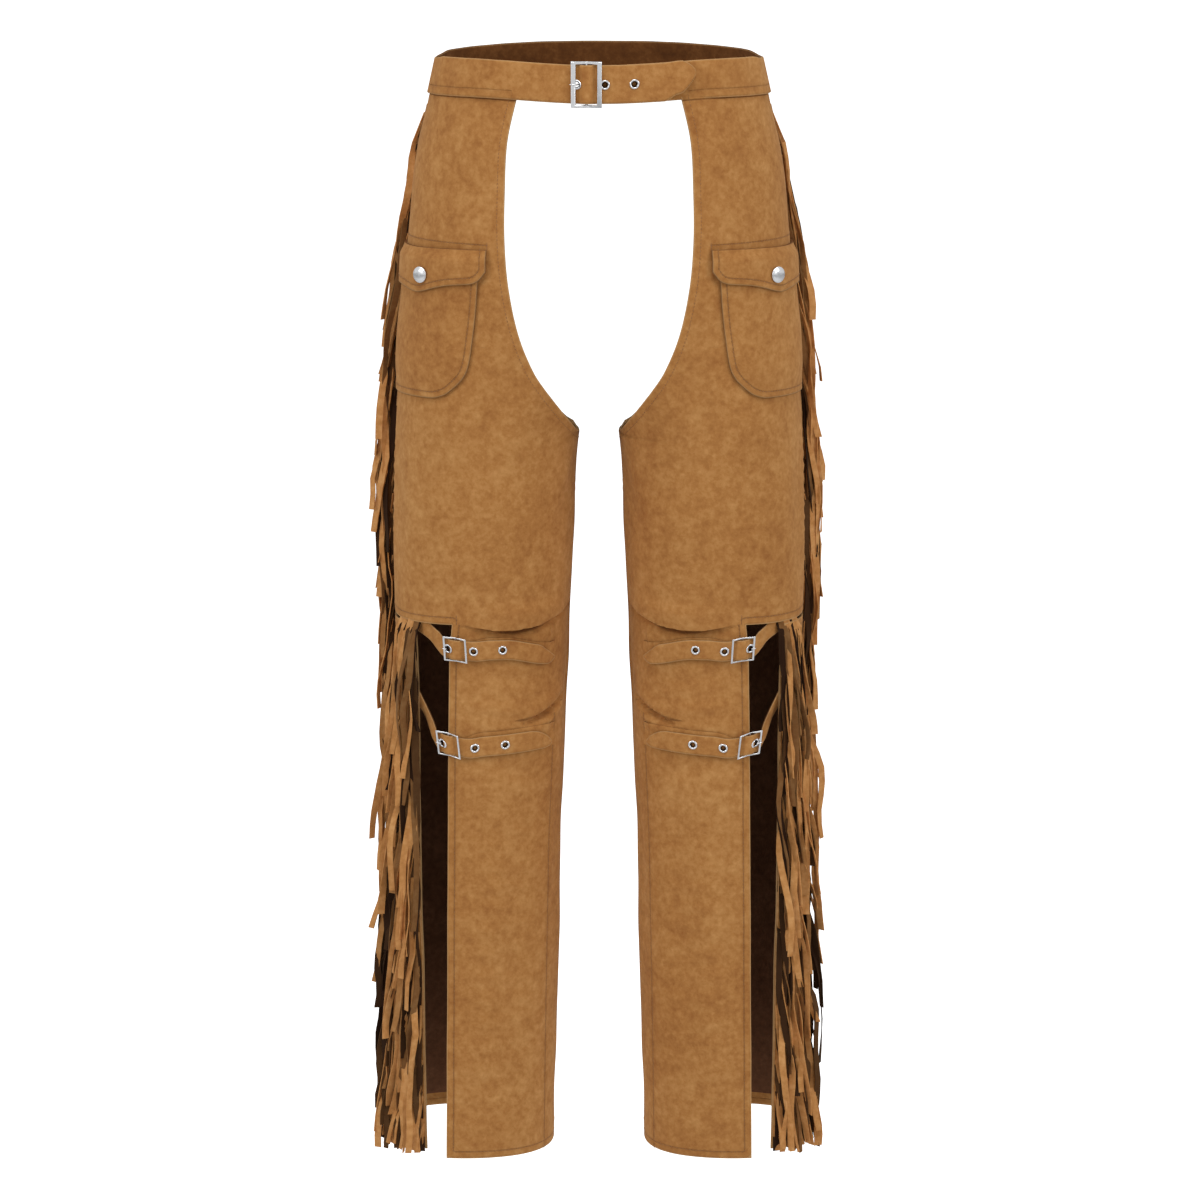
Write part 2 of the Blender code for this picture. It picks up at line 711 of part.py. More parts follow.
def waistband():
    """One band: the tongue, the left side, the back and the right side, whose end runs sunk under
    the tongue."""
    rows = [
        level_row(belt_place, BELT_FITTINGS, u, top + BUCKLE_DROP, bottom + BUCKLE_DROP)
        for u, top, bottom in TONGUE_TIP
    ]
    half = BELT_FITTINGS["frame"][0] / 2
    flat = (0.0700, 0.0600, 0.0510, 0.0421, 0.0340, 0.0250, 0.0163, half)
    crest = (0.0075, 0.0058, 0.0045, 0.0032, 0.0, -0.0032, -0.0045, -0.0058, -0.0075, -half, -0.0200)
    for u in flat + crest:
        rows.append(level_row(belt_place, BELT_FITTINGS, u, BUCKLE_DROP, BUCKLE_DROP - BAND_HEIGHT))
    start = angle_at(-BUCKLE_DROP, -(BUCKLE_X - 0.0330))
    end = 2 * math.pi + angle_at(-BUCKLE_DROP, -UNDERLAP_X)
    for k in range(BAND_STATIONS + 1):
        angle = spread((start, end), k / BAND_STATIONS)
        x = leg_point(LEFT, -BUCKLE_DROP, angle).x
        sink = UNDERLAP_SINK * smooth((0.125 - x) / 0.045) if angle > 2 * math.pi else 0.0
        rows.append([
            [belt_point(angle, v, face - sink) for v in (0.0, -BAND_HEIGHT)]
            for face in (BAND_WALL, 0.0)
        ])
    return strip("waistband", rows, suede())


def belt():
    eyelets(waistband(), "belt_eyelet", belt_place, BELT_FITTINGS)
    buckle("belt_buckle", belt_place, BELT_FITTINGS)
    prong("belt_prong", belt_place, BELT_FITTINGS)
    tab("belt_tab", belt_place, BELT_FITTINGS)


# Leg straps


# Where each buckle lies, how its rails are turned and its bars lean, and what its strap does beyond it
LEG_STRAPS = {
    "upper": {
        "reach": 0.1302, "z": -0.5310, "turn": -0.14, "tip": 0.0906, "bend": -0.0085,
        "bend_start": 0.045, "eyelets": (-0.0066, 0.0160, 0.0426), "tab_length": 0.0925,
        "tab_offset": 0.0022, "lean": 0.06,
    },
    "lower": {
        "reach": 0.1368, "z": -0.6205, "turn": -0.22, "tip": 0.0915, "bend": 0.0040,
        "bend_start": 0.012, "eyelets": (-0.0052, 0.0233, 0.0504), "tab_length": 0.0950,
        "tab_offset": 0.0040, "lean": 0.10,
    },
}
# Each strap's tip: distance back from its end, and its edges as shares of half the strap's width
STRAP_TIPS = {
    "upper": ((0.0145, 1.0, -1.0), (0.0062, 0.45, -1.0), (0.0025, 0.05, -0.80), (0.0, -0.25, -0.50)),
    "lower": (
        (0.0175, 1.0, -1.0), (0.0120, 0.86, -1.0), (0.0060, 0.45, -0.98), (0.0020, -0.05, -0.88),
        (0.0, -0.40, -0.66),
    ),
}
# The way from the back panel to the buckle: both edges of the strap, their distance from the leg's
# face and how much nearer the front the top edge is than the bottom one
WAY_COLUMNS = ("top_reach", "top_z", "bottom_reach", "bottom_z", "lift", "tip")
WAYS = {
    "upper": (
        (0.1750, -0.4975, 0.1740, -0.5145, -0.0050, 0.0),
        (0.1668, -0.5020, 0.1665, -0.5190, -0.0048, 0.0),
        (0.1588, -0.5069, 0.1590, -0.5229, -0.0045, 0.0),
        (0.1540, -0.5102, 0.1532, -0.5272, -0.0040, 0.0),
        (0.1498, -0.5122, 0.1478, -0.5315, -0.0012, 0.0),
        (0.1445, -0.5154, 0.1438, -0.5352, 0.0008, 0.0),
    ),
    "lower": (
        (0.1700, -0.5680, 0.1795, -0.5770, -0.0034, 0.0),
        (0.1655, -0.5765, 0.1745, -0.5830, -0.0034, 0.0),
        (0.1590, -0.5880, 0.1665, -0.5910, -0.0040, 0.006),
        (0.1523, -0.5994, 0.1600, -0.6000, -0.0030, 0.012),
        (0.1488, -0.6055, 0.1522, -0.6160, 0.0, 0.004),
    ),
}
LEG_STRAP_WIDTH = 0.0188


def strap_place(side, spec):
    """place(u, v, d) for a leg strap, askew at its buckle and straightened beyond it."""

    def place(u, v, d):
        straight = smooth((u - 0.010) / 0.022)
        turn = spec["turn"] * (1 - straight)
        bend = spec["bend"] * smooth((u - spec["bend_start"]) / (spec["tip"] - spec["bend_start"]))
        reach = spec["reach"] - u * math.cos(turn) + v * spec["lean"] * (1 - straight)
        z = spec["z"] + v * math.cos(turn) + u * math.sin(turn) + spec["turn"] * 0.010 * straight
        return on_front(side, reach, z + bend, d)

    return place


def way_rows(side, way):
    """Rows of the strap's way to the buckle, with its thickness square to it."""
    edges = []
    for top_reach, top_z, bottom_reach, bottom_z, lift, tip in way:
        forward = Vector((0, -tip / 2, 0))
        edges.append((
            on_front(side, top_reach, top_z, lift) + forward,
            on_front(side, bottom_reach, bottom_z, lift) - forward,
        ))
    middles = [(top + bottom) / 2 for top, bottom in edges]
    rows = []
    for i, (top, bottom) in enumerate(edges):
        along = middles[min(i + 1, len(middles) - 1)] - middles[max(i - 1, 0)]
        out = along.cross(top - bottom).normalized() * -side * STRAP_WALL
        rows.append([[top + out, bottom + out], [top, bottom]])
    return rows


def leg_strap(side, label, height):
    """One strap with its buckle, prong, eyelets and tab."""
    spec = LEG_STRAPS[height]
    fittings = {**LEG_FITTINGS, **spec}
    place = strap_place(side, spec)
    name = f"{height}_{label}"
    half = LEG_STRAP_WIDTH / 2
    bar = fittings["frame"][0] / 2
    rows = way_rows(side, WAYS[height])
    for u in (
        -bar, -0.0064, -0.0048, -0.0036, -0.0022, 0.0, 0.0022, 0.0036, 0.0048, 0.0064, bar,
        0.0160, 0.0210, 0.0265, 0.0330, 0.0400, 0.0470, 0.0550, 0.0640,
    ):
        rows.append(level_row(place, fittings, u, half, -half))
    for back, upper, lower in STRAP_TIPS[height]:
        rows.append(level_row(place, fittings, spec["tip"] - back, half * upper, half * lower))
    strap = strip(f"strap_{name}", rows, suede())
    eyelets(strap, f"eyelet_{name}", place, fittings)
    buckle(f"buckle_{name}", place, fittings)
    prong(f"prong_{name}", place, fittings)
    tab(f"tab_{name}", place, fittings)


def clear():
    for old in list(bpy.data.objects):
        bpy.data.objects.remove(old)


clear()
belt()
for side, label in SIDES:
    front_panel(side, label)
    back_panel(side, label)
    pocket(side, label)
    flap(side, label)
    snap(side, label)
    for height in FRINGES:
        fringe(side, label, height)
    for height in LEG_STRAPS:
        leg_strap(side, label, height)
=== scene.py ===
"""Looks of a pair of fringed suede chaps, filled out as when worn, with nobody in them.

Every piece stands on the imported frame, in its metres: +Z up, the front towards -Y, the middle of the
waist opening at the origin. A leg is described once, by how far each point lies from the middle of
the body (its reach), and mirrored by its side.
"""

import math

import bpy
import numpy as np
from mathutils import Matrix, Vector


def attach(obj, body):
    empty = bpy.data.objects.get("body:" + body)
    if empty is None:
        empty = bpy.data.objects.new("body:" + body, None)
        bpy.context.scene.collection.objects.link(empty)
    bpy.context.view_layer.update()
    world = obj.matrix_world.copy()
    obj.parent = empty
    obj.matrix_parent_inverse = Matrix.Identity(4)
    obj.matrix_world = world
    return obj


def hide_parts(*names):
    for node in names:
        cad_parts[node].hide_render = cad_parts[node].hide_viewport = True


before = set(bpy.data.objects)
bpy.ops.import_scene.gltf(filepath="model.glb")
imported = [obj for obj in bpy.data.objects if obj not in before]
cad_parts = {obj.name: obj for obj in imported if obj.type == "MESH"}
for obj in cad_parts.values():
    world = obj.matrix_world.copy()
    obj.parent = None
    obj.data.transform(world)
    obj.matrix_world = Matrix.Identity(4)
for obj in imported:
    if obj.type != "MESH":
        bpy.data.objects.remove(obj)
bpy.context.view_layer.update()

# Front panels
#
# Each is one piece of tan suede from the crotch cut-out to the outer seam, thigh and shin in one.
# Below the knee its outer third is cut away, which leaves the slit. The cut edges are turned in and
# topstitched, and the top is sewn to the waistband.

LEFT, RIGHT = -1, 1
SIDES = ((LEFT, "left"), (RIGHT, "right"))
PANEL_WALL = 0.0015
SEAM_GAP = 0.0003
CELL = 0.004
PANEL_TOP, CROTCH, THIGH_HEM, HEM_FRONT = -0.0345, -0.341, -0.509, -1.020
SEAM_ALLOWANCE, HEM_CORNER = 0.008, 0.0025
SEAM_ANGLE = math.radians(184)
TURNED_EDGE = 0.0066

# What marks the cloth, each kept as a distance at its points, and the distance of what has no mark
# The seam mark also holds the sharp folds and the outlines of sewn-on pieces, where it paints shade
MARKS = ("edge", "seam", "rim", "row")
FAR_OFF = 0.05

# Cross-section of a leg at each height: its outer and inner reach, its front and its back
SECTION_COLUMNS = ("z", "outer", "inner", "front", "back")
SECTIONS = (
    (0.020, 0.139, -0.139, -0.097, 0.097),
    (0.000, 0.1455, -0.1455, -0.100, 0.100),
    (-0.035, 0.1535, -0.1535, -0.102, 0.104),
    (-0.094, 0.167, -0.145, -0.106, 0.112),
    (-0.160, 0.1735, -0.100, -0.106, 0.117),
    (-0.212, 0.1775, -0.055, -0.102, 0.113),
    (-0.255, 0.182, -0.025, -0.098, 0.106),
    (-0.300, 0.185, 0.002, -0.094, 0.099),
    (-0.341, 0.187, 0.0175, -0.091, 0.092),
    (-0.437, 0.190, 0.0232, -0.086, 0.084),
    (-0.509, 0.189, 0.0267, -0.081, 0.079),
    (-0.600, 0.188, 0.031, -0.077, 0.076),
    (-0.740, 0.191, 0.0358, -0.075, 0.073),
    (-0.900, 0.199, 0.040, -0.073, 0.071),
    (-1.020, 0.205, 0.043, -0.071, 0.069),
)
ROUNDNESS = 2.35

# Edges of the open crotch and seat, then of the slit below the knee
CUTOUT_COLUMNS = ("z", "front_edge", "back_edge")
CUTOUT = (
    (-0.031, 0.0725, 0.090), (-0.072, 0.0815, 0.095), (-0.120, 0.0840, 0.098),
    (-0.160, 0.0840, 0.099), (-0.200, 0.0803, 0.096), (-0.242, 0.0715, 0.089),
    (-0.275, 0.0584, 0.078), (-0.294, 0.0469, 0.0675), (-0.312, 0.0344, 0.0545),
    (-0.327, 0.0246, 0.0390), (-0.334, 0.0207, 0.0290), (-0.3385, 0.0185, 0.0215),
    (-0.341, 0.0175, 0.0175),
)
SLIT_COLUMNS = ("z", "front_free", "back_free")
SLIT = (
    (-0.508, 0.1340, 0.1680), (-0.540, 0.1365, 0.1665), (-0.720, 0.1395, 0.1650),
    (-1.020, 0.1430, 0.1610),
)

# The bulge of the thigh hangs over the stretch that the upper strap pulls in. Its lower line, from
# the inner seam to the slit, and the narrow pinch right under it
KNEE_LINE = ((0.026, -0.4937), (0.036, -0.5002), (0.055, -0.5077), (0.080, -0.5107), (0.132, -0.5075))
KNEE_DEPTH, KNEE_PINCH, KNEE_LIP = 0.0050, 0.0060, 0.0040
KNEE_REACH, KNEE_OUTER = (0.022, 0.036, 0.098, 0.134), 0.128
KNEE_FADE = (-0.540, -0.650)
# Reach, height and half-width in mm of the shade in each sharp fold over the shin
FOLDS = (
    ((0.124, -0.5105, 0.8), (0.090, -0.5163, 1.6), (0.076, -0.5170, 3.2), (0.055, -0.5143, 3.8),
     (0.036, -0.5070, 3.0), (0.027, -0.5000, 0.8)),
    ((0.080, -0.6010, 0.8), (0.060, -0.5990, 2.8), (0.042, -0.5945, 2.6), (0.028, -0.5880, 0.6)),
)

# Creases: three points of each way (degrees round the leg from its inner side over the front, and
# height), its half width and how far it stands up or, below zero, sinks in
CREASES = (
    # fullness of the thigh over the knee fold, and the ridge that runs from it behind the strap's tip
    (((28, -0.490), (58, -0.503), (92, -0.500)), 0.0100, 0.0022),
    (((37, -0.514), (38, -0.523), (40, -0.532)), 0.0032, 0.0024),
    # second fold, from the lower strap up to the inner seam: its lip, its pinch and what lies below
    (((56, -0.596), (40, -0.586), (16, -0.576)), 0.0090, 0.0020),
    (((60, -0.6035), (42, -0.5985), (16, -0.586)), 0.0038, -0.0085),
    (((62, -0.612), (42, -0.6085), (18, -0.597)), 0.0060, 0.0022),
    (((40, -0.603), (41, -0.612), (43, -0.622)), 0.0030, 0.0018),
    # gathering between the two straps and under the lower one
    (((88, -0.556), (70, -0.566), (48, -0.560)), 0.0070, -0.0012),
    (((96, -0.584), (76, -0.592), (56, -0.588)), 0.0080, 0.0012),
    (((84, -0.640), (66, -0.652), (40, -0.646)), 0.0100, -0.0013),
    # upright ridge beside the outer seam and the slack trough before it
    (((170, -0.315), (163, -0.390), (166, -0.478)), 0.0075, 0.0021),
    (((158, -0.330), (150, -0.400), (152, -0.470)), 0.0130, -0.0012),
    # pull lines from the crotch and down the inner thigh
    (((8, -0.350), (26, -0.385), (34, -0.430)), 0.0120, -0.0013),
    (((4, -0.372), (14, -0.420), (12, -0.470)), 0.0080, 0.0012),
    (((66, -0.210), (84, -0.270), (90, -0.340)), 0.0220, -0.0012),
    # long soft folds of the shin
    (((60, -0.680), (66, -0.800), (58, -0.930)), 0.0200, -0.0020),
    (((84, -0.700), (80, -0.830), (86, -1.010)), 0.0180, 0.0016),
    (((20, -0.660), (26, -0.780), (18, -0.900)), 0.0120, -0.0016),
    # outer side of the back panel, under the fringe
    (((204, -0.200), (210, -0.330), (202, -0.460)), 0.0160, -0.0018),
    (((222, -0.300), (216, -0.420), (224, -0.520)), 0.0170, 0.0017),
    (((200, -0.560), (208, -0.700), (198, -0.860)), 0.0150, 0.0018),
    # back of the knee and below the seat
    (((236, -0.500), (270, -0.512), (318, -0.500)), 0.0080, -0.0034),
    (((232, -0.520), (266, -0.534), (322, -0.521)), 0.0100, 0.0024),
    (((244, -0.548), (284, -0.556), (330, -0.541)), 0.0080, -0.0026),
    (((256, -0.572), (290, -0.590), (336, -0.580)), 0.0110, 0.0018),
    (((250, -0.250), (262, -0.330), (256, -0.410)), 0.0190, -0.0024),
    (((286, -0.300), (280, -0.390), (288, -0.470)), 0.0160, 0.0018),
    (((262, -0.660), (270, -0.800), (262, -0.960)), 0.0190, -0.0022),
    (((304, -0.640), (296, -0.780), (308, -0.920)), 0.0170, 0.0019),
    (((334, -0.620), (342, -0.760), (334, -0.900)), 0.0130, -0.0015),
    (((330, -0.380), (340, -0.440), (336, -0.490)), 0.0120, -0.0016),
)
# Slight unevenness all over the cloth: waves along x, y and z, their phase and their height
UNEVEN = (
    (31, 17, 22, 0.4, 0.00040), (-47, 38, 29, 2.1, 0.00030), (12, -63, 51, 4.0, 0.00025),
    (88, 20, -64, 1.2, 0.00016), (-26, 71, 97, 5.3, 0.00014),
)
# Height and reach of the row of stitches down the inner side of the shin
INNER_ROW = ((-0.5980, 0.0410), (-0.6300, 0.0428), (-0.7200, 0.0466), (-0.9000, 0.0502), (-1.0200, 0.0520))

# Cells across the front panel up to the slit and beyond it, and its finer rows from the knee's bulge
# to below the second fold
FRONT_CELLS = (36, 20)
KNEE_START, FOLD_END = -0.493, -0.614
KNEE_ROWS = np.arange(-0.4942, -0.5250, -0.0012)
FOLD_ROWS = np.concatenate((np.arange(-0.528, -0.570, -0.0035), np.arange(-0.572, -0.615, -0.0020)))


def smooth(share):
    """0 to 1 with level ends."""
    share = np.clip(share, 0.0, 1.0)
    return share * share * (3 - 2 * share)


def spread(start, end, share):
    return start + (end - start) * share


def signed_power(value, power):
    return np.sign(value) * np.abs(value) ** power


def hermite(t, span, start, end, start_slope, end_slope):
    """A smooth curve between two values that lie a span apart, with their slopes."""
    return (
        (2 * t**3 - 3 * t**2 + 1) * start
        + (t**3 - 2 * t**2 + t) * span * start_slope
        + (3 * t**2 - 2 * t**3) * end
        + (t**3 - t**2) * span * end_slope
    )


def lookup(rows, columns, name, z):
    """A column of a table of heights, on a smooth curve through its rows."""
    table = np.array(rows)[::-1]
    heights, values = table[:, 0], table[:, columns.index(name)]
    place = np.arange(len(heights))
    before, after = np.maximum(place - 1, 0), np.minimum(place + 1, len(heights) - 1)
    slopes = (values[after] - values[before]) / (heights[after] - heights[before])
    z = np.clip(z, heights[0], heights[-1])
    i = np.clip(np.searchsorted(heights, z, side="right") - 1, 0, len(heights) - 2)
    span = heights[i + 1] - heights[i]
    return hermite((z - heights[i]) / span, span, values[i], values[i + 1], slopes[i], slopes[i + 1])


def leg_section(z):
    """Middle reach, middle depth, half width and half depth of the leg's section at z."""
    outer, inner, front, back = (
        lookup(SECTIONS, SECTION_COLUMNS, name, z) for name in SECTION_COLUMNS[1:]
    )
    return (outer + inner) / 2, (front + back) / 2, (outer - inner) / 2, (back - front) / 2


def knee_line(reach):
    """Height of the knee fold's lower line."""
    reaches, heights = np.array(KNEE_LINE).T
    return np.interp(reach, reaches, heights)


def knee_tuck(z, reach):
    """How far the front is drawn in under the knee fold."""
    start, full, full_end, end = KNEE_REACH
    across = smooth((reach - start) / (full - start)) * smooth((end - reach) / (end - full_end))
    fade = (z - KNEE_FADE[1]) / (KNEE_FADE[0] - KNEE_FADE[1])
    below = knee_line(reach) - z
    pinch = KNEE_PINCH * smooth((KNEE_OUTER - reach) / 0.070) * smooth((0.013 - below) / 0.010)
    return across * smooth(below / 0.0028) * (KNEE_DEPTH * smooth(fade) + pinch)


def knee_lip(z, angle):
    """How far the knee fold's lower lip hangs down over its pinch."""
    reach = leg_points(RIGHT, z, angle)[..., 0]
    above = z - knee_line(reach)
    across = smooth((reach - 0.021) / 0.012) * smooth((KNEE_OUTER - reach) / 0.030) * (np.sin(angle) > 0)
    return KNEE_LIP * across * smooth((above + 0.0012) / 0.0012) * smooth((0.011 - above) / 0.010)


def leg_points(side, z, angle, lift=0.0):
    """Points of the leg's outer face, moved out by lift. The angle runs from the inner side (0) over
    the front to the outer side (pi) and the back."""
    z, angle, lift = np.broadcast_arrays(np.asarray(z, float), angle, lift)
    reach_mid, y_mid, half_width, half_depth = leg_section(z)
    u = -signed_power(np.cos(angle), 2 / ROUNDNESS)
    v = -signed_power(np.sin(angle), 2 / ROUNDNESS)
    reach = reach_mid + half_width * u
    across = signed_power(u, ROUNDNESS - 1) / half_width
    out = signed_power(v, ROUNDNESS - 1) / half_depth
    length = np.hypot(across, out)
    lift = lift - knee_tuck(z, reach) * (np.sin(angle) > 0)
    x = side * (reach + lift * across / length)
    return np.stack((x, y_mid + half_depth * v + lift * out / length, z), -1)


def angle_at(z, reach, back=False):
    """The angle at which the section at z has that reach, on the front or the back."""
    reach_mid, _, half_width, _ = leg_section(z)
    u = np.clip((reach_mid - reach) / half_width, -1.0, 1.0)
    angle = np.arccos(signed_power(u, ROUNDNESS / 2))
    return 2 * np.pi - angle if back else angle


def relief(z, angle):
    """The creases and the slight unevenness of the cloth, as a lift."""
    points = leg_points(RIGHT, z, angle)
    raised = np.zeros(points.shape[:-1])
    for way, half_width, height in CREASES:
        (a0, z0), (a1, z1), (a2, z2) = way
        share = np.linspace(0, 1, 15)
        bend = (1 - share) ** 2, 2 * share * (1 - share), share**2
        turns = bend[0] * a0 + bend[1] * a1 + bend[2] * a2
        heights = bend[0] * z0 + bend[1] * z1 + bend[2] * z2
        nearest = np.full(raised.shape, 1e3)
        along = np.zeros(raised.shape)
        for k, point in enumerate(leg_points(RIGHT, heights, np.radians(turns))):
            gap = np.linalg.norm(points - point, axis=-1)
            closer = gap < nearest
            nearest[closer] = gap[closer]
            along[closer] = share[k]
        width = half_width * (0.75 + 0.5 * along)
        ends = np.sin(np.pi * (0.06 + 0.88 * along)) ** 0.8
        q = (nearest / width) ** 2
        raised += height * ends * (1 - 0.8 * q) * np.exp(-q)
    x, y, z = points[..., 0], points[..., 1], points[..., 2]
    for fx, fy, fz, phase, height in UNEVEN:
        raised += height * np.sin(fx * x + fy * y + fz * z + phase)
    return raised * smooth((PANEL_TOP - z) / 0.030)


def band_rise(points):
    """Height of the waistband's top edge: it dips at the buckle and rises at the back."""
    front, hips, back = -0.0017, 0.0029, 0.0097
    x, y = points[..., 0], points[..., 1]
    return np.where(
        y > 0, hips + (back - hips) * np.maximum(y / 0.100, 0) ** 1.9,
        front + (hips - front) * smooth((np.abs(x) - 0.005) / 0.115))


def band_pull(points, z):
    """How far points of that height follow the waistband's edge, less and less down to the hips."""
    return band_rise(points) * smooth((z + 0.180) / 0.145)


def cloth_points(side, z, angle, lift=0.0):
    """Points of the creased cloth. Near the top they hang from the waistband's edge."""
    z, angle, lift = np.broadcast_arrays(np.asarray(z, float), angle, lift)
    behind_band = 0.0007 * (z > PANEL_TOP + 0.0004)
    points = leg_points(side, z, angle, lift + relief(z, angle) - behind_band)
    points[..., 2] += band_pull(points, z) - knee_lip(z, angle)
    return points


def level_rows(*heights):
    """Heights of a panel's rows, a cell apart, through each of the given ones."""
    rows = [heights[0]]
    for start, end in zip(heights, heights[1:]):
        count = max(1, round(abs(end - start) / CELL))
        rows += [start + (end - start) * (k + 1) / count for k in range(count)]
    return np.array(rows)


def even_angles(z, start, end, count):
    """Angles between two lines of the leg, evenly spaced along the cloth at each height."""
    fine = np.linspace(0, 1, 5 * count + 1)
    angles = start[:, None] + (end - start)[:, None] * fine
    steps = np.linalg.norm(np.diff(leg_points(RIGHT, z[:, None], angles), axis=1), axis=2)
    along = np.concatenate((np.zeros((len(z), 1)), np.cumsum(steps, axis=1)), axis=1)
    return np.array([
        np.interp(np.linspace(0, way[-1], count + 1), way, row) for way, row in zip(along, angles)
    ])


def distance(points, lines):
    """Distance of each point from the nearest of some lines through points."""
    nearest = np.full(points.shape[:-1], FAR_OFF)
    for line in lines:
        for start, end in zip(line, line[1:]):
            way = end - start
            reach = np.maximum(np.dot(way, way), 1e-12)
            share = np.clip((points - start) @ way / reach, 0, 1)
            gap = np.linalg.norm(points - start - share[..., None] * way, axis=-1)
            nearest = np.minimum(nearest, gap)
    return nearest


def outward(verts, faces):
    """The faces, turned over if they enclose a volume inside out."""
    volume = 0.0
    for face in faces:
        a, b, c = (verts[face[k]] for k in (0, 1, 2))
        volume += np.dot(a, np.cross(b, c))
        if len(face) == 4:
            volume += np.dot(a, np.cross(c, verts[face[3]]))
    return [tuple(reversed(face)) for face in faces] if volume < 0 else faces


def new_object(name, data):
    """An object in the scene."""
    made = bpy.data.objects.new(name, data)
    bpy.context.scene.collection.objects.link(made)
    return made


def dress(piece, node=None):
    """Puts a piece in place of its solid, if it has one, on the one body."""
    if node:
        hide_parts(node)
    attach(piece, "root")


def add_piece(name, verts, faces, finishes, finish_of=None, marks=None, flat=None, sharp=50):
    """An object of a mesh with its finishes, its marks on the cloth and its flat layout."""
    mesh = bpy.data.meshes.new(name)
    mesh.from_pydata([tuple(v) for v in verts], [], outward(verts, faces))
    for finish in finishes:
        mesh.materials.append(finish)
    if finish_of is not None:
        mesh.polygons.foreach_set("material_index", finish_of)
    unmarked = {mark: np.full(len(verts), FAR_OFF) for mark in MARKS}
    for mark, values in {**unmarked, **(marks or {})}.items():
        layer = mesh.attributes.new(mark, "FLOAT", "POINT")
        layer.data.foreach_set("value", np.asarray(values, float))
    if flat is not None:
        loops = np.zeros(len(mesh.loops), int)
        mesh.loops.foreach_get("vertex_index", loops)
        mesh.uv_layers.new(name="cloth").data.foreach_set("uv", np.asarray(flat)[loops].ravel())
    mesh.shade_smooth()
    mesh.set_sharp_from_angle(angle=math.radians(sharp))
    mesh.validate()
    return new_object(name, mesh)


def shell(name, outer, inner, finishes, keep=None, marks=None):
    """A closed thin wall between two grids of points. keep says which cells are cloth. The finishes
    are those of its outer face, its inner face and its edges."""
    rows, columns = outer.shape[0] - 1, outer.shape[1] - 1
    keep = np.ones((rows, columns), bool) if keep is None else keep
    used = np.zeros((rows + 1, columns + 1), bool)
    for down in (0, 1):
        for across in (0, 1):
            used[down:rows + down, across:columns + across] |= keep
    number = np.cumsum(used.ravel()).reshape(used.shape) - 1
    count = int(used.sum())
    verts = np.concatenate((outer[used], inner[used]))
    padded = np.pad(keep, 1)
    faces, finish_of = [], []
    for row in range(rows):
        for column in range(columns):
            if not keep[row, column]:
                continue
            corners = ((row, column), (row, column + 1), (row + 1, column + 1), (row + 1, column))
            ids = [int(number[c]) for c in corners]
            faces += [tuple(ids), tuple(i + count for i in reversed(ids))]
            finish_of += [0, 1]
            beside = ((row, column + 1), (row + 1, column + 2), (row + 2, column + 1), (row + 1, column))
            for k in range(4):
                if not padded[beside[k]]:
                    a, b = ids[k], ids[(k + 1) % 4]
                    faces.append((b, a, a + count, b + count))
                    finish_of.append(2)
    marks = {mark: np.tile(values[used], 2) for mark, values in (marks or {}).items()}
    along = np.concatenate((np.zeros((rows + 1, 1)), np.cumsum(
        np.linalg.norm(np.diff(outer, axis=1), axis=2), axis=1)), axis=1)
    flat = np.tile(np.stack((along, outer[..., 2]), -1)[used], (2, 1))
    return add_piece(name, verts, faces, finishes, finish_of, marks, flat)


def feed(tree, node, sockets):
    """Links a node's sockets, or sets them."""
    for socket, value in sockets.items():
        if isinstance(value, bpy.types.NodeSocket):
            tree.links.new(value, node.inputs[socket])
        else:
            node.inputs[socket].default_value = value


def add_node(tree, kind, sockets=None, **settings):
    """A node with its settings, its sockets linked or set."""
    made = tree.nodes.new(kind)
    for setting, value in settings.items():
        setattr(made, setting, value)
    feed(tree, made, sockets or {})
    return made


def result(tree, kind, sockets=None, **settings):
    """The first output of a new node."""
    return add_node(tree, kind, sockets, **settings).outputs[0]


def colour(red, green, blue):
    """A colour given in everyday 0 to 255 values."""
    return tuple((c / 255) ** 2.2 for c in (red, green, blue)) + (1.0,)


def number(tree, operation, *values):
    """A sum on two or three values."""
    return result(tree, "ShaderNodeMath", dict(enumerate(values)), operation=operation)


def blend(tree, share, first, second):
    """A colour between two colours."""
    return add_node(
        tree, "ShaderNodeMix", {"Factor": share, 6: first, 7: second}, data_type="RGBA",
    ).outputs[2]


def noise(tree, where, scale, detail, rough=0.5, warp=0.0):
    """Random values that change smoothly over a place."""
    return result(tree, "ShaderNodeTexNoise", {
        "Vector": where, "Scale": scale, "Detail": detail, "Roughness": rough, "Distortion": warp,
    })


def near(tree, gap, width):
    """1 on a line and 0 from that far on."""
    return result(tree, "ShaderNodeMapRange", {
        "Value": gap, "From Min": 0.0, "From Max": width, "To Min": 1.0, "To Max": 0.0,
    }, interpolation_type="SMOOTHSTEP")


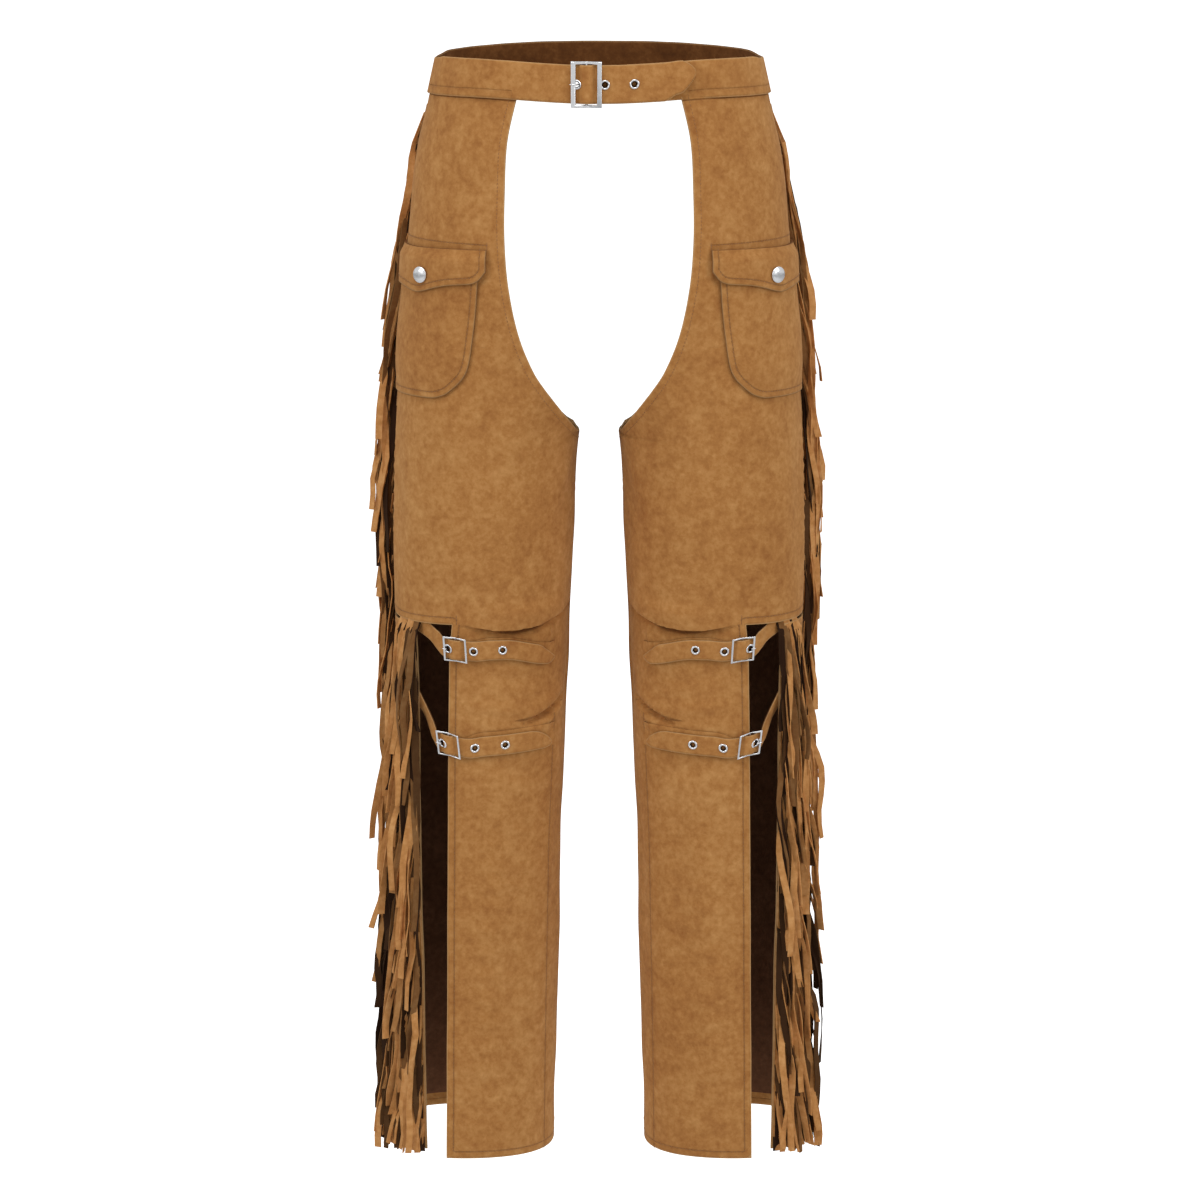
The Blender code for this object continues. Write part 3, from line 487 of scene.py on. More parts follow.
def suede_nap_group():
    """Cloudy colour and short fibres of brushed split leather."""
    tree = bpy.data.node_groups.new("suede nap", "ShaderNodeTree")
    for name in ("Dark", "Middle", "Light"):
        tree.interface.new_socket(name, in_out="INPUT", socket_type="NodeSocketColor")
    socket = tree.interface.new_socket("Cloud size", in_out="INPUT", socket_type="NodeSocketFloat")
    socket.default_value = 70
    tree.interface.new_socket("Color", in_out="OUTPUT", socket_type="NodeSocketColor")
    tree.interface.new_socket("Height", in_out="OUTPUT", socket_type="NodeSocketFloat")
    given = add_node(tree, "NodeGroupInput").outputs
    where = add_node(tree, "ShaderNodeTexCoord").outputs["Object"]
    clouds = noise(tree, where, given["Cloud size"], 2.0)
    broad = noise(tree, where, 9.0, 2.0)
    patches = noise(tree, where, 190.0, 1.5)
    fibres = noise(tree, where, 430.0, 3.0, 0.6, 0.8)
    nap = noise(tree, where, 1500.0, 2.0, 0.6)
    share = 0.5
    for fleck, strength in ((clouds, 0.9), (broad, 0.7), (patches, 0.9), (fibres, 0.6)):
        share = number(tree, "MULTIPLY_ADD", number(tree, "SUBTRACT", fleck, 0.5), strength, share)
    low = number(tree, "MULTIPLY", share, 2.0)
    high = number(tree, "MULTIPLY_ADD", share, 2.0, -1.0)
    for value in (low, high):
        value.node.use_clamp = True
    mixed = blend(tree, high, blend(tree, low, given["Dark"], given["Middle"]), given["Light"])
    height = number(tree, "MULTIPLY_ADD", fibres, 0.00016, number(tree, "MULTIPLY", nap, 0.00010))
    add_node(tree, "NodeGroupOutput", {"Color": mixed, "Height": height})
    return tree


def sewing_group():
    """Marks of the sewing, and painted light: stitch rows darkened in their grooves as painted shade,
    puckers beside them, dark lines at seams, painted shade in sharp folds and round sewn-on pieces, turned
    edges a little lighter, and a painted highlight along the rim. Its inputs are distances over the cloth
    in metres."""
    tree = bpy.data.node_groups.new("sewing marks", "ShaderNodeTree")
    for name in ("Edge", "Seam", "Rim", "Row", "Inset"):
        socket = tree.interface.new_socket(name, in_out="INPUT", socket_type="NodeSocketFloat")
        socket.default_value = FAR_OFF
    for name in ("Lines_and_painted_shade", "Lighter_edges_and_highlight", "Height"):
        tree.interface.new_socket(name, in_out="OUTPUT", socket_type="NodeSocketFloat")
    given = add_node(tree, "NodeGroupInput").outputs
    where = add_node(tree, "ShaderNodeTexCoord").outputs["Object"]
    inset = number(tree, "ABSOLUTE", number(tree, "SUBTRACT", given["Edge"], given["Inset"]))
    gap = number(tree, "MINIMUM", inset, number(tree, "ABSOLUTE", given["Row"]))
    groove, soft = near(tree, gap, 0.0009), near(tree, gap, 0.0036)
    # Seam: dark lines at the seams, painted shade in the sharp folds and painted shadow round sewn-on
    # pieces
    sewn = near(tree, given["Seam"], 0.0010)
    pucker = noise(tree, where, 150.0, 2.0)
    height = number(tree, "MULTIPLY", groove, -0.00050)
    height = number(tree, "MULTIPLY_ADD", soft, -0.00045, height)
    height = number(tree, "MULTIPLY_ADD", sewn, -0.0009, height)
    pucker = number(tree, "MULTIPLY", pucker, number(tree, "MULTIPLY", soft, 0.0011))
    height = number(tree, "ADD", height, pucker)
    height = number(tree, "MULTIPLY_ADD", near(tree, given["Edge"], 0.0022), -0.0008, height)
    # Darker along stitch rows as painted shade in their grooves, darkest on seams and in painted fold and
    # outline shade
    lines_and_painted_shade = number(tree, "MULTIPLY_ADD", groove, 0.28, number(tree, "MULTIPLY", soft, 0.10))
    lines_and_painted_shade = number(tree, "MAXIMUM", lines_and_painted_shade, number(tree, "MULTIPLY", sewn, 0.75))
    # Turned edges come out a little lighter, and along the rim a highlight is painted
    lighter_edges_and_highlight = number(tree, "MAXIMUM", near(tree, given["Edge"], 0.0016), near(tree, given["Rim"], 0.0018))
    lighter_edges_and_highlight = number(tree, "MULTIPLY", lighter_edges_and_highlight, 0.55)
    add_node(tree, "NodeGroupOutput", {"Lines_and_painted_shade": lines_and_painted_shade, "Lighter_edges_and_highlight": lighter_edges_and_highlight, "Height": height})
    return tree


SUEDE_NAP, SEWING_MARKS = suede_nap_group(), sewing_group()
TAN = {"Dark": colour(154, 99, 53), "Middle": colour(178, 123, 69), "Light": colour(199, 146, 89)}
FLESH = {"Dark": colour(80, 47, 23), "Middle": colour(101, 62, 31), "Light": colour(124, 80, 44)}
# Colours blended in: dark lines and painted shade, then lighter edges and the painted highlight
DARK_LINE_AND_SHADE_COLOUR, EDGE_AND_HIGHLIGHT_COLOUR = colour(112, 70, 36), colour(205, 166, 116)


def new_finish(name):
    """A material, its node tree and its shader."""
    made = bpy.data.materials.new(name)
    made.use_nodes = True
    return made, made.node_tree, made.node_tree.nodes["Principled BSDF"]


def suede_finish(name, shades, clouds=70.0, sheen=0.25, inset=0.2, painted_light=None):
    """Suede with its nap and its sewing marks, a row of stitches that far inside its edges. The last
    argument names an attribute by which each strand is painted darker, as shade."""
    made, tree, shader = new_finish(name)
    nap = add_node(tree, "ShaderNodeGroup", node_tree=SUEDE_NAP)
    feed(tree, nap, {**shades, "Cloud size": clouds})
    sewing = add_node(tree, "ShaderNodeGroup", node_tree=SEWING_MARKS)
    feed(tree, sewing, {"Inset": inset})
    for mark in MARKS:
        read = add_node(tree, "ShaderNodeAttribute", attribute_name=mark)
        feed(tree, sewing, {mark.title(): read.outputs["Fac"]})
    shown = blend(tree, sewing.outputs["Lighter_edges_and_highlight"], nap.outputs["Color"], EDGE_AND_HIGHLIGHT_COLOUR)
    shown = blend(tree, sewing.outputs["Lines_and_painted_shade"], shown, DARK_LINE_AND_SHADE_COLOUR)
    if painted_light:
        read = add_node(tree, "ShaderNodeAttribute", attribute_name=painted_light)
        # Painted shade: strands with a low value are darkened toward this near-black brown
        shown = blend(tree, read.outputs["Fac"], colour(46, 27, 13), shown)
    height = number(tree, "ADD", nap.outputs["Height"], sewing.outputs["Height"])
    bump = result(tree, "ShaderNodeBump", {"Height": height, "Distance": 1.0, "Strength": 0.8})
    feed(tree, shader, {
        "Base Color": shown, "Normal": bump, "Roughness": 0.93, "Specular IOR Level": 0.18,
        "Sheen Weight": sheen, "Sheen Roughness": 0.55, "Sheen Tint": colour(228, 184, 134),
    })
    return made


SUEDE = suede_finish("tan suede", TAN)
HEMMED = suede_finish("tan suede with a turned edge", TAN, inset=TURNED_EDGE)
INSIDE = suede_finish("flesh side of the suede", FLESH, clouds=40.0, sheen=0.1)
# The flesh side on the back panel's inner faces, its colour shifted from the flesh side's own to paint the
# look of the deep shade inside the leg
SHADED_INSIDE = suede_finish("flesh side tinted as in shade within the leg", {
    "Dark": colour(96, 63, 44), "Middle": colour(115, 78, 55), "Light": colour(136, 95, 69),
}, clouds=40.0, sheen=0.1)
CUT_EDGE = suede_finish("cut edge of the suede", {
    "Dark": colour(150, 106, 66), "Middle": colour(178, 136, 92), "Light": colour(200, 162, 116),
}, clouds=160.0)
CLOTH = (HEMMED, INSIDE, CUT_EDGE)

# Where the pocket flap is sewn on, and where its row of stitches runs above that
FLAP_TOP, FLAP_INNER, FLAP_ROW = -0.1654, 0.0997, 0.0056


def flap_row(z, angle):
    """Height above the row of stitches over the pocket flap, steep beyond the row's inner end."""
    reach = leg_points(RIGHT, z, angle)[..., 0]
    gap = z - (FLAP_TOP + FLAP_ROW + 0.0012 * (reach - 0.14) / 0.04)
    return gap * (1 + 60 * smooth((FLAP_INNER - reach) / 0.003))


def thread_finish():
    """Waxed thread a shade darker than the suede, twisted along its length."""
    made, tree, shader = new_finish("tan sewing thread")
    twist = noise(tree, add_node(tree, "ShaderNodeTexCoord").outputs["Object"], 900.0, 2.0)
    feed(tree, shader, {
        "Base Color": blend(tree, twist, colour(136, 90, 50), colour(172, 122, 74)),
        "Normal": result(tree, "ShaderNodeBump", {"Height": twist, "Distance": 0.0003, "Strength": 0.6}),
        "Roughness": 0.6,
    })
    return made


def node_inputs(tree, sockets):
    """Names a geometry tree's inputs and its one output, and gives what comes in."""
    tree.interface.new_socket("Geometry", in_out="OUTPUT", socket_type="NodeSocketGeometry")
    for name, kind, value in sockets:
        socket = tree.interface.new_socket(name, in_out="INPUT", socket_type="NodeSocket" + kind)
        if value is not None:
            socket.default_value = value
    return add_node(tree, "NodeGroupInput").outputs


def finish_tree(tree, geometry, finish):
    """The end of a geometry tree: real copies in their finish."""
    real = result(tree, "GeometryNodeRealizeInstances", {"Geometry": geometry})
    painted = result(tree, "GeometryNodeSetMaterial", {"Geometry": real, "Material": finish})
    add_node(tree, "NodeGroupOutput", {"Geometry": painted})


def stitch_tree():
    """Lays one short arched thread at every pitch of a line, lying on the cloth."""
    tree = bpy.data.node_groups.new("stitch row", "GeometryNodeTree")
    given = node_inputs(tree, (
        ("Geometry", "Geometry", None), ("Pitch", "Float", 0.0033), ("Stitch", "Float", 0.0025),
        ("Thread", "Float", 0.0003), ("Finish", "Material", None),
    ))
    line = result(tree, "GeometryNodeMeshToCurve", {"Mesh": given["Geometry"]})
    line = result(tree, "GeometryNodeResampleCurve", {
        "Curve": line, "Length": given["Pitch"],
    }, mode="LENGTH")
    thread = result(tree, "GeometryNodeMeshCylinder", {
        "Vertices": 6, "Side Segments": 4, "Radius": given["Thread"], "Depth": given["Stitch"],
    })
    thread = result(tree, "GeometryNodeTransform", {"Geometry": thread, "Rotation": (0, math.pi / 2, 0)})
    where = result(tree, "GeometryNodeInputPosition")
    along = result(tree, "ShaderNodeSeparateXYZ", {0: where})
    share = number(tree, "DIVIDE", along, number(tree, "MULTIPLY", given["Stitch"], 0.5))
    deep = number(tree, "MULTIPLY", given["Thread"], -1.6)
    arch = number(tree, "MULTIPLY", number(tree, "MULTIPLY", share, share), deep)
    thread = result(tree, "GeometryNodeSetPosition", {
        "Geometry": thread, "Offset": result(tree, "ShaderNodeCombineXYZ", {"Z": arch}),
    })
    out = result(tree, "GeometryNodeInputNamedAttribute", {"Name": "out"}, data_type="FLOAT_VECTOR")
    turn = result(tree, "FunctionNodeAlignRotationToVector", {"Vector": out}, axis="Z")
    turn = result(tree, "FunctionNodeAlignRotationToVector", {
        "Rotation": turn, "Vector": result(tree, "GeometryNodeInputTangent"),
    }, axis="X", pivot_axis="Z")
    laid = result(tree, "GeometryNodeInstanceOnPoints", {
        "Points": line, "Instance": thread, "Rotation": turn,
    })
    finish_tree(tree, laid, given["Finish"])
    return tree


THREAD, STITCH_TREE = thread_finish(), stitch_tree()


def make_plain(piece):
    """Turns a piece into the plain mesh that its modifiers make."""
    graph = bpy.context.evaluated_depsgraph_get()
    made = bpy.data.meshes.new_from_object(piece.evaluated_get(graph), depsgraph=graph)
    piece.modifiers.clear()
    old, piece.data = piece.data, made
    bpy.data.meshes.remove(old)
    made.name = piece.name
    return made


def grow(piece, tree, values):
    """Turns a piece into what a node tree with those values makes of it."""
    step = piece.modifiers.new(tree.name, "NODES")
    step.node_group = tree
    for item in tree.interface.items_tree:
        if item.in_out == "INPUT" and item.name in values:
            step[item.identifier] = values[item.name]
    make_plain(piece)


def level_line(outer, inner, mark, value, keep=None):
    """Edges over a grid of points where a mark has that value, with the way out of the cloth."""
    rows, columns = mark.shape
    ids, points, outs, edges = {}, [], [], []

    def crossing(a, b):
        key = (min(a, b), max(a, b))
        if key not in ids:
            share = (value - mark[a]) / (mark[b] - mark[a])
            ids[key] = len(points)
            points.append(spread(outer[a], outer[b], share))
            out = spread(outer[a] - inner[a], outer[b] - inner[b], share)
            outs.append(out / np.linalg.norm(out))
        return ids[key]

    above = mark > value
    for row in range(rows - 1):
        for column in range(columns - 1):
            corners = ((row, column), (row, column + 1), (row + 1, column + 1), (row + 1, column))
            signs = [above[c] for c in corners]
            if all(signs) or not any(signs) or (keep is not None and not keep[row, column]):
                continue
            for three in ((0, 1, 2), (0, 2, 3)):
                a, b, c = (corners[k] for k in three)
                cut = [crossing(p, q) for p, q in ((a, b), (b, c), (c, a)) if above[p] != above[q]]
                if len(cut) == 2 and cut[0] != cut[1]:
                    edges.append(tuple(cut))
    return np.array(points), np.array(outs), edges


def tack(side, reach, low, high):
    """A short upright line, for the dense stitches that end a row."""
    heights = np.linspace(low, high, 6)
    points, out = (cloth_points(side, heights, angle_at(heights, reach), lift) for lift in (0.0, 0.001))
    return points, (out - points) / 0.001, [(k, k + 1) for k in range(5)]


def stitching(name, lines, pitch=0.0033, lift=0.00015):
    """Rows of stitches along lines of (points, ways out, edges), as one piece."""
    verts, outs, edges = [], [], []
    for points, out, pairs in lines:
        if len(points) == 0:
            continue
        edges += [(a + len(verts), b + len(verts)) for a, b in pairs]
        verts += [tuple(p) for p in points + out * lift]
        outs += list(out)
    mesh = bpy.data.meshes.new(name)
    mesh.from_pydata(verts, edges, [])
    mesh.attributes.new("out", "FLOAT_VECTOR", "POINT").data.foreach_set("vector", np.ravel(outs))
    made = new_object(name, mesh)
    grow(made, STITCH_TREE, {"Pitch": pitch, "Finish": THREAD})
    made.data.shade_smooth()
    dress(made)
    return made


def fold_gap(points, side):
    """Distance to the nearest sharp fold, less where the fold is deep, for painting the fold's shade."""
    nearest = np.full(points.shape[:-1], FAR_OFF)
    for fold in FOLDS:
        fold = np.array(fold)
        share = np.linspace(0, len(fold) - 1, 60)
        reach, z, width = (np.interp(share, np.arange(len(fold)), column) for column in fold.T)
        for point, wide in zip(cloth_points(side, z, angle_at(z, reach)), width):
            nearest = np.minimum(nearest, np.linalg.norm(points - point, axis=-1) / wide)
    return nearest


def nearest_row(rows, z):
    return int(np.argmin(np.abs(rows - z)))


def front_marks(side, outer, rows, at_slit, over_flap):
    """The front panel's marks, and which of its points lie inside the turned edges over the slit."""
    z = rows[:, None]
    top, crotch, hem = (nearest_row(rows, height) for height in (PANEL_TOP, CROTCH, THIGH_HEM))
    heights, reaches = np.array(INNER_ROW)[::-1].T
    beside_seam = np.abs(outer[..., 0]) - np.interp(rows, heights, reaches)[:, None]
    beside_seam[rows > INNER_ROW[0][0]] = FAR_OFF
    turned_in = [outer[hem, at_slit:], outer[hem:, at_slit], outer[-1, :at_slit + 1]]
    seams = [outer[top, :], outer[crotch:, 0]]
    marks = {
        "edge": distance(outer, turned_in),
        # seam also carries the sharp folds, where it paints their shade
        "seam": np.minimum(distance(outer, seams), fold_gap(outer, side)),
        # rim: the outer seam and the crotch edge, where a highlight is painted
        "rim": distance(outer, [outer[:hem + 1, -1], outer[:crotch + 1, 0]]),
        "row": np.where(z > -0.25, over_flap, beside_seam),
    }
    above_slit = np.zeros(outer.shape[:2], bool)
    above_slit[crotch + 3:hem, :at_slit - 1] = True
    marks["edge"][above_slit] = FAR_OFF
    return marks, above_slit, beside_seam


def front_panel(side, label):
    rows = np.concatenate((
        level_rows(PANEL_TOP + SEAM_ALLOWANCE, PANEL_TOP), level_rows(PANEL_TOP, CROTCH)[1:],
        level_rows(CROTCH, KNEE_START)[1:], KNEE_ROWS, FOLD_ROWS, level_rows(FOLD_END, HEM_FRONT)[1:],
    ))
    z = rows[:, None]
    free = angle_at(rows, lookup(SLIT, SLIT_COLUMNS, "front_free", rows))
    inner = np.where(
        rows > CROTCH, angle_at(rows, lookup(CUTOUT, CUTOUT_COLUMNS, "front_edge", rows)), 0.0)
    at_slit, beyond = FRONT_CELLS
    angles = np.concatenate((
        even_angles(rows, inner, free, at_slit),
        even_angles(rows, free, np.full(len(rows), SEAM_ANGLE), beyond)[:, 1:],
    ), axis=1)
    outer, within = (cloth_points(side, z, angles, lift) for lift in (0.0, -PANEL_WALL))
    corner = HEM_CORNER * smooth((angles - math.radians(148)) / 0.60)
    corner *= smooth((z - THIGH_HEM + 0.012) / 0.012)
    corner *= smooth((THIGH_HEM + 0.045 - z) / 0.045)
    outer[..., 2] += corner
    within[..., 2] += corner
    keep = np.ones((len(rows) - 1, at_slit + beyond), bool)
    keep[nearest_row(rows, THIGH_HEM):, at_slit:] = False
    over_flap = flap_row(z, angles)
    marks, above_slit, beside_seam = front_marks(side, outer, rows, at_slit, over_flap)
    made = shell(f"chap_front_{label}", outer, within, CLOTH, keep, marks)
    cut_gap = distance(outer, [outer[:nearest_row(rows, CROTCH) + 1, 0]])
    along_shin = (z[:-1] < INNER_ROW[0][0]) & (angles[:-1, :-1] < 1.5)
    sewn = stitching(f"stitching_front_{label}", [
        level_line(outer, within, marks["edge"], TURNED_EDGE, keep & ~above_slit[:-1, :-1]),
        level_line(outer, within, cut_gap, TURNED_EDGE, keep & (z[:-1] >= CROTCH)),
        level_line(outer, within, beside_seam, 0.0, keep & along_shin),
        level_line(outer, within, over_flap, 0.0, keep & (np.abs(over_flap[:-1, :-1]) < 0.005)),
    ])
    ends = stitching(f"stitching_ends_{label}", [
        tack(side, 0.1300, -0.5072, -0.5005),
        tack(side, FLAP_INNER, FLAP_TOP + 0.0010, FLAP_TOP + FLAP_ROW),
    ], pitch=0.0008)
    dress(made, f"front_panel_{label}")


for side, label in SIDES:
    front_panel(side, label)

# Back panels
#
# The same suede, from the outer seam round the back of the leg to the inner seam, open at the seat.
# Below the knee it comes forward past the seam to the slit, where its dark flesh side shows.

# The hem's width on the inside, where the right side of the suede is turned in
BACK_TOP, HEM_BACK, CROTCH_DIP, HEM_WIDTH = -0.511, -1.012, 0.0055, 0.011
# Cells across the back panel before the outer seam, under the fringe, and behind it
BACK_CELLS = (9, 66)


def back_panel(side, label):
    rows = np.concatenate((
        level_rows(PANEL_TOP + SEAM_ALLOWANCE, PANEL_TOP), level_rows(PANEL_TOP, CROTCH)[1:],
        level_rows(CROTCH, BACK_TOP, HEM_BACK)[1:],
    ))
    z = rows[:, None]
    waist, crotch, top = (nearest_row(rows, height) for height in (PANEL_TOP, CROTCH, BACK_TOP))
    depth = leg_section(rows)[3]
    seam = SEAM_ANGLE + SEAM_GAP / depth
    free = angle_at(rows, lookup(SLIT, SLIT_COLUMNS, "back_free", rows))
    inner = np.where(rows > CROTCH, angle_at(
        rows, lookup(CUTOUT, CUTOUT_COLUMNS, "back_edge", rows), back=True), 2 * np.pi)
    at_seam, behind = BACK_CELLS
    angles = np.concatenate((
        even_angles(rows, free, seam, at_seam),
        even_angles(rows, seam, inner - SEAM_GAP / depth, behind)[:, 1:],
    ), axis=1)
    outer, within = (cloth_points(side, z, angles, lift) for lift in (0.0, -PANEL_WALL))
    dip = CROTCH_DIP * smooth((angles - 2 * np.pi + 1.1) / 0.5)
    dip *= smooth((z - CROTCH) / 0.012) * smooth((CROTCH + 0.050 - z) / 0.022)
    outer[..., 2] -= dip
    within[..., 2] -= dip
    keep = np.ones((len(rows) - 1, at_seam + behind), bool)
    keep[:top, :at_seam] = False
    turned_in = [outer[:crotch + 1, -1], outer[top, :at_seam + 1], outer[top:, 0], outer[-1, :]]
    seams = [outer[waist, at_seam:], outer[crotch:, -1], outer[:top + 1, at_seam]]
    marks = {"edge": distance(outer, turned_in), "seam": distance(outer, seams)}
    made = shell(f"chap_back_{label}", outer, within, (HEMMED, SHADED_INSIDE, INSIDE), keep, marks)
    gap = np.zeros(len(made.data.vertices))
    made.data.attributes["edge"].data.foreach_get("value", gap)
    for face in made.data.polygons:
        if face.material_index == 1 and gap[list(face.vertices)].mean() < HEM_WIDTH:
            face.material_index = 0
    sewn = stitching(f"stitching_back_{label}", [
        level_line(outer, within, marks["edge"], TURNED_EDGE, keep),
    ])
    dress(made, f"back_panel_{label}")
    return made, sewn


backs = {side: back_panel(side, label) for side, label in SIDES}

# Pockets and flaps
#
# A patch pocket on each outer thigh, its lower inner corner rounded, sewn down round three sides and
# caught in the outer seam. Its flap is a doubled piece with a blunt point, sewn on above it.

SIDE_EDGE, POCKET_ROW = math.radians(182.5), 0.0058
POCKET_COLUMNS = ("z", "inner")
POCKET = (
    (-0.1770, 0.1060), (-0.2000, 0.1078), (-0.2200, 0.1095), (-0.2450, 0.1125), (-0.2700, 0.1165),
    (-0.2810, 0.1215), (-0.2910, 0.1310), (-0.2970, 0.1390), (-0.3000, 0.1480),
)
POCKET_WALL, POCKET_PUFF, LAYER_GAP = 0.0014, 0.0025, 0.0008
FLAP_WALL, FLAP_FOLD = 0.0018, 0.0105
# Added to the distance from an edge whose outline of painted shadow is thinner than a seam's dark line
OUTLINE_GAP = 0.0002
FLAP_COLUMNS = ("share", "top", "bottom")
FLAP = (
    (0.000, -0.1648, -0.1830), (0.030, -0.1650, -0.1915), (0.085, -0.1650, -0.1958),
    (0.160, -0.1651, -0.1965), (0.250, -0.1652, -0.1978), (0.340, -0.1654, -0.2005),
    (0.430, -0.1656, -0.2040), (0.500, -0.1658, -0.2058), (0.570, -0.1660, -0.2050),
    (0.660, -0.1661, -0.2030), (0.750, -0.1662, -0.2018), (0.840, -0.1663, -0.2010),
    (0.920, -0.1664, -0.2005), (1.000, -0.1664, -0.2000),
)


SEWN_DOWN = suede_finish("tan suede sewn down", TAN, inset=POCKET_ROW)
# Dark colour of the edges of straps, tabs, pockets and flaps: painted shadow along them
EDGE_IN_PAINTED_SHADOW = suede_finish("suede edge in painted shadow", {
    "Dark": colour(84, 50, 24), "Middle": colour(100, 62, 32), "Light": colour(118, 76, 42),
}, clouds=160.0, sheen=0.1)


def pocket_lift(z, angle):
    """The pocket lies on the panel at its seams and stands a little off between them."""
    inner = angle_at(z, lookup(POCKET, POCKET_COLUMNS, "inner", z))
    share = (angle - inner) / (SIDE_EDGE - inner)
    across = smooth(share / 0.20) * smooth((1 - share) / 0.20)
    return LAYER_GAP + POCKET_WALL + POCKET_PUFF * across * smooth((z + 0.300) / 0.030)


def pocket(side, label):
    rows = np.concatenate((np.arange(POCKET[0][0], -0.266, -0.003), np.linspace(-0.268, -0.300, 24)))
    inner = angle_at(rows, lookup(POCKET, POCKET_COLUMNS, "inner", rows))
    angles = even_angles(rows, inner, np.full(len(rows), SIDE_EDGE), 30)
    over = pocket_lift(rows[:, None], angles)
    outer, within = (cloth_points(side, rows[:, None], angles, lift) for lift in (over, over - POCKET_WALL))
    edges = [outer[:, 0], outer[-1]]
    # A thin painted shadow along the pocket's edges
    marks = {"edge": distance(outer, edges), "seam": distance(outer, [*edges, outer[:, -1]]) + OUTLINE_GAP}
    made = shell(f"patch_pocket_{label}", outer, within, (SEWN_DOWN, INSIDE, EDGE_IN_PAINTED_SHADOW), marks=marks)
    sewn = stitching(f"stitching_pocket_{label}", [level_line(outer, within, marks["edge"], POCKET_ROW)])
    dress(made, f"pocket_{label}")


def flap_line(name, share):
    """The flap's top or bottom height across it, on straight runs eased at their joints."""
    table = np.array(FLAP)
    column = table[:, FLAP_COLUMNS.index(name)]
    shares = np.clip(share[:, None] + np.linspace(-0.02, 0.02, 9), 0, 1)
    return np.interp(shares, table[:, 0], column).mean(axis=1)


def flap(side, label):
    shares = np.concatenate((np.linspace(0, 0.09, 12), np.linspace(0.09, 1, 40)[1:]))
    top, bottom = flap_line("top", shares), flap_line("bottom", shares)
    down = np.linspace(0, 1, 16)
    z = top[:, None] + (bottom - top)[:, None] * down
    inner = angle_at(z, FLAP_INNER)
    angles = inner + (SIDE_EDGE - inner) * shares[:, None]
    over = pocket_lift(z, angles) + LAYER_GAP + FLAP_WALL
    over = spread(LAYER_GAP + FLAP_WALL, over, smooth((top[:, None] - z) / FLAP_FOLD))
    outer, within = (cloth_points(side, z, angles, lift) for lift in (over, over - FLAP_WALL))
    marks = {
        "edge": distance(outer, [outer[0], outer[:, -1]]),
        # A thin painted shadow along the flap's edges
        "seam": distance(outer, [outer[0], outer[:, -1], outer[:, 0], outer[-1]]) + OUTLINE_GAP,
    }
    made = shell(f"pocket_flap_{label}", outer, within, (SEWN_DOWN, SUEDE, EDGE_IN_PAINTED_SHADOW), marks=marks)
    sewn = stitching(f"stitching_flap_{label}", [level_line(outer, within, marks["edge"], POCKET_ROW)])
    dress(made, f"flap_{label}")


for make in (pocket, flap):
    for side, label in SIDES:
        make(side, label)

# Waistband
#
# One doubled strip of suede, 34 mm high, cut as a single length: the tongue with its point, the left
# side, the back and the right side, whose end runs sunk under the tongue. Its edges are folded over.

BAND_WALL, BAND_HEIGHT = 0.0022, 0.034
BUCKLE_X, BUCKLE_DROP = -0.0110, 0.0172
TONGUE_LIFT, UNDERLAP_X, UNDERLAP_SINK = 0.0035, 0.0260, 0.0028
# Reach from which the band is sewn to the legs, front and back, and its row of stitches' height
BAND_SEWN, BAND_ROW = (0.0760, 0.0920), 0.0078
# Mark of a punched hole's rim, too far off to be lightened or darkened
HOLE_MARK = 0.009
TONGUE_TIP = (
    (0.0945, -0.0090, -0.0120), (0.0935, -0.0070, -0.0143), (0.0918, -0.0045, -0.0180),
    (0.0895, -0.0025, -0.0214), (0.0868, -0.0008, -0.0245), (0.0850, 0.0002, -0.0263),
    (0.0835, 0.0008, -0.0275), (0.0810, 0.0009, -0.0284), (0.0780, 0.0008, -0.0290),
    (0.0730, 0.0004, -0.0320), (0.0690, 0.0000, -0.0340),
)
BELT_FITTINGS = {
    "frame": (0.0272, 0.0404), "side_bar": 0.0043, "rail": 0.0027, "bar_level": 0.0034,
    "bar_thick": 0.0026, "centre_level": -0.0002, "centre_radius": 0.0009, "strap": BAND_WALL,
    "base": 0.0002, "rise": 0.0027, "tab": 0.0009, "tab_width": 0.0300, "tab_length": 0.0355,
    "tab_offset": 0.0, "prong": 0.0007, "eyelets": (-0.0089, 0.0163, 0.0421),
    "eyelet": (0.0022, 0.0027, 0.0044),
}


def strap_level(fittings, u):
    """Inner face of a strap near its buckle: under the side bars and over the centre bar."""
    flat = fittings["frame"][0] / 2 - fittings["side_bar"]
    crest = 2.6 * fittings["centre_radius"] + fittings["tab"]
    foot = flat - 0.0018
    return fittings["base"] + fittings["rise"] * smooth((foot - np.abs(u)) / (foot - crest))


def belt_points(angle, v, lift):
    """Points of the waistband, v below its top edge."""
    points = leg_points(LEFT, v, angle, lift)
    points[..., 2] += band_rise(points)
    return points


def belt_place(u, v, d):
    """Round the belt buckle: u to the right of its centre bar, v above its middle, d out."""
    u, v, d = np.broadcast_arrays(np.asarray(u, float), v, d)
    z = v - BUCKLE_DROP
    lift = TONGUE_LIFT * smooth((u - 0.045) / 0.050)
    return belt_points(angle_at(z, -(BUCKLE_X + u)), z, d + lift)


def strap_outline(width, wall, across=9):
    """A strap's section as shares of its width and of its wall, its edges folded round."""
    fold = 0.45 * wall / width
    round_off = ((0.0, 0.42), (0.10 * fold, 0.72), (0.45 * fold, 0.93))
    flat = np.linspace(fold, 1 - fold, across)
    outer = [(share, level) for share, level in round_off] + [(share, 1.0) for share in flat]
    outer += [(1 - share, level) for share, level in reversed(round_off)]
    inner = [(1 - 0.4 * fold, 0.08)] + [(share, 0.0) for share in flat[::-2]] + [(0.4 * fold, 0.08)]
    return np.array(outer + inner), len(outer)


